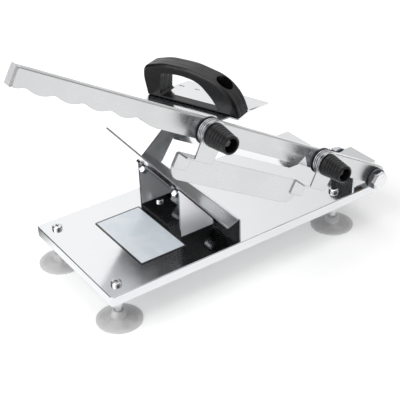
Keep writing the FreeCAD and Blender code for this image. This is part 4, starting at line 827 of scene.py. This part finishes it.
join(tree, ground.outputs["Object"], distance.inputs[0])
seen = calc(tree, "MAXIMUM", rays.outputs["Is Camera Ray"], rays.outputs["Is Transmission Ray"])
in_view = calc(tree, "MULTIPLY", seen, span(tree, distance.outputs["Value"], 0.35, 2.0, 0.22, 0.9))
across = calc(tree, "MULTIPLY",
              span(tree, ground_flat.outputs["X"], CLOTH_RIGHT, CLOTH_RIGHT + 0.04, 1.0, 0.0, smooth=True),
              span(tree, ground_flat.outputs["X"], CLOTH_LEFT - 0.005, CLOTH_LEFT + 0.005))
cloth = calc(tree, "MULTIPLY", across,
             span(tree, ground_flat.outputs["Y"], CLOTH_NEAR, CLOTH_NEAR + 0.07, smooth=True))
cloth_in_steel = calc(tree, "MULTIPLY", cloth, rays.outputs["Is Glossy Ray"])
open_floor = calc(tree, "SUBTRACT", rays.outputs["Is Glossy Ray"], cloth_in_steel)
in_steel = calc(tree, "MULTIPLY", open_floor, 0.60)
join(tree, calc(tree, "MAXIMUM", in_view, in_steel), sheet.inputs["Emission Strength"])
join(tree, blend_colour(tree, cloth_in_steel, (0.90, 0.90, 0.90), (0.07, 0.07, 0.07)),
     sheet.inputs["Base Color"])
floor_mesh.materials.append(paper)
print("floor", 2 * REACH, "m across")

# %% [markdown]
# ## The room
# The world is the rest of the room. Camera rays and clear rays see plain white. Glossy rays
# see a room that is white above, dark low down in front, where the photographer stands, and
# a little darker far on the right. One black flag stands behind on the left. A flag is a
# black cloth that a studio hangs where polished metal should mirror something dark: it
# draws the folds and gaps.

# %% World
FLAG = Vector((-0.50, 0.72, 0.45)).normalized()
world = bpy.data.worlds.new("studio")
bpy.context.scene.world = world
world.use_nodes = True
tree = world.node_tree
tree.nodes.clear()
surroundings = add(tree, "ShaderNodeOutputWorld")
rays = add(tree, "ShaderNodeLightPath")
direction = add(tree, "ShaderNodeTexCoord")
parts = add(tree, "ShaderNodeSeparateXYZ")
join(tree, direction.outputs["Generated"], parts.inputs[0])
overhead = span(tree, parts.outputs["Z"], -0.05, 0.45, 0.75, 1.5, smooth=True)
behind = span(tree, parts.outputs["Y"], -0.80, -0.30, 0.10, 1.0, smooth=True)
far_right = span(tree, parts.outputs["X"], 0.35, 0.70, 1.0, 0.72, smooth=True)
toward_flag = add(tree, "ShaderNodeVectorMath", operation="DOT_PRODUCT")
toward_flag.inputs[1].default_value = FLAG
join(tree, direction.outputs["Generated"], toward_flag.inputs[0])
unflagged = span(tree, toward_flag.outputs["Value"], 0.70, 0.90, 1.0, 0.04, smooth=True)
room_level = calc(tree, "MULTIPLY", calc(tree, "MULTIPLY", overhead, behind), unflagged)
room_level = calc(tree, "MULTIPLY", room_level, far_right)
room = add(tree, "ShaderNodeBackground")
join(tree, room_level, room.inputs["Strength"])
ambient = add(tree, "ShaderNodeBackground", in_Strength=0.50)
white = add(tree, "ShaderNodeBackground", in_Strength=1.0)
for shader in (room, ambient, white):
    shader.inputs["Color"].default_value = (1.0, 1.0, 1.0, 1.0)
glossy_or_ambient = add(tree, "ShaderNodeMixShader")
join(tree, rays.outputs["Is Glossy Ray"], glossy_or_ambient.inputs[0])
join(tree, ambient.outputs[0], glossy_or_ambient.inputs[1])
join(tree, room.outputs[0], glossy_or_ambient.inputs[2])
seen = calc(tree, "MAXIMUM", rays.outputs["Is Camera Ray"], rays.outputs["Is Transmission Ray"])
final = add(tree, "ShaderNodeMixShader")
join(tree, seen, final.inputs[0])
join(tree, glossy_or_ambient.outputs[0], final.inputs[1])
join(tree, white.outputs[0], final.inputs[2])
join(tree, final.outputs[0], surroundings.inputs["Surface"])
print("world ready")

# %% [markdown]
# ## Lamps
# Three large soft panels stand where a small studio has them. Being large, they cast soft
# shadows and give wide, even highlights. Each looks at the middle of the part. The key panel
# on the left is the strongest and gives the shadow on the right.

# %% Lamps
AIM_AT = Vector((0, 0, 0.08))


def soft_panel(name, where, size, power):
    """A large square lamp that looks at the middle of the object."""
    data = bpy.data.lights.new(name, "AREA")
    data.shape = "SQUARE"
    data.size = size
    data.energy = power
    lamp = bpy.data.objects.new(name, data)
    lamp.location = where
    aim = AIM_AT - Vector(where)
    lamp.rotation_euler = aim.to_track_quat("-Z", "Y").to_euler()
    bpy.context.collection.objects.link(lamp)
    print(name, power, "W,", size, "m")


soft_panel("key panel", (-2.0, 0.1, 2.0), 2.0, 38.0)
soft_panel("fill panel", (-1.9, -1.6, 1.3), 2.0, 12.0)
soft_panel("top panel", (0.4, 0.2, 2.4), 1.8, 12.0)

# %% [markdown]
# ## Colours as they are
# The Standard view keeps white paper white. A film-like view would turn it grey.

# %% Colour management
bpy.context.scene.view_settings.view_transform = "Standard"
print("view transform:", bpy.context.scene.view_settings.view_transform)
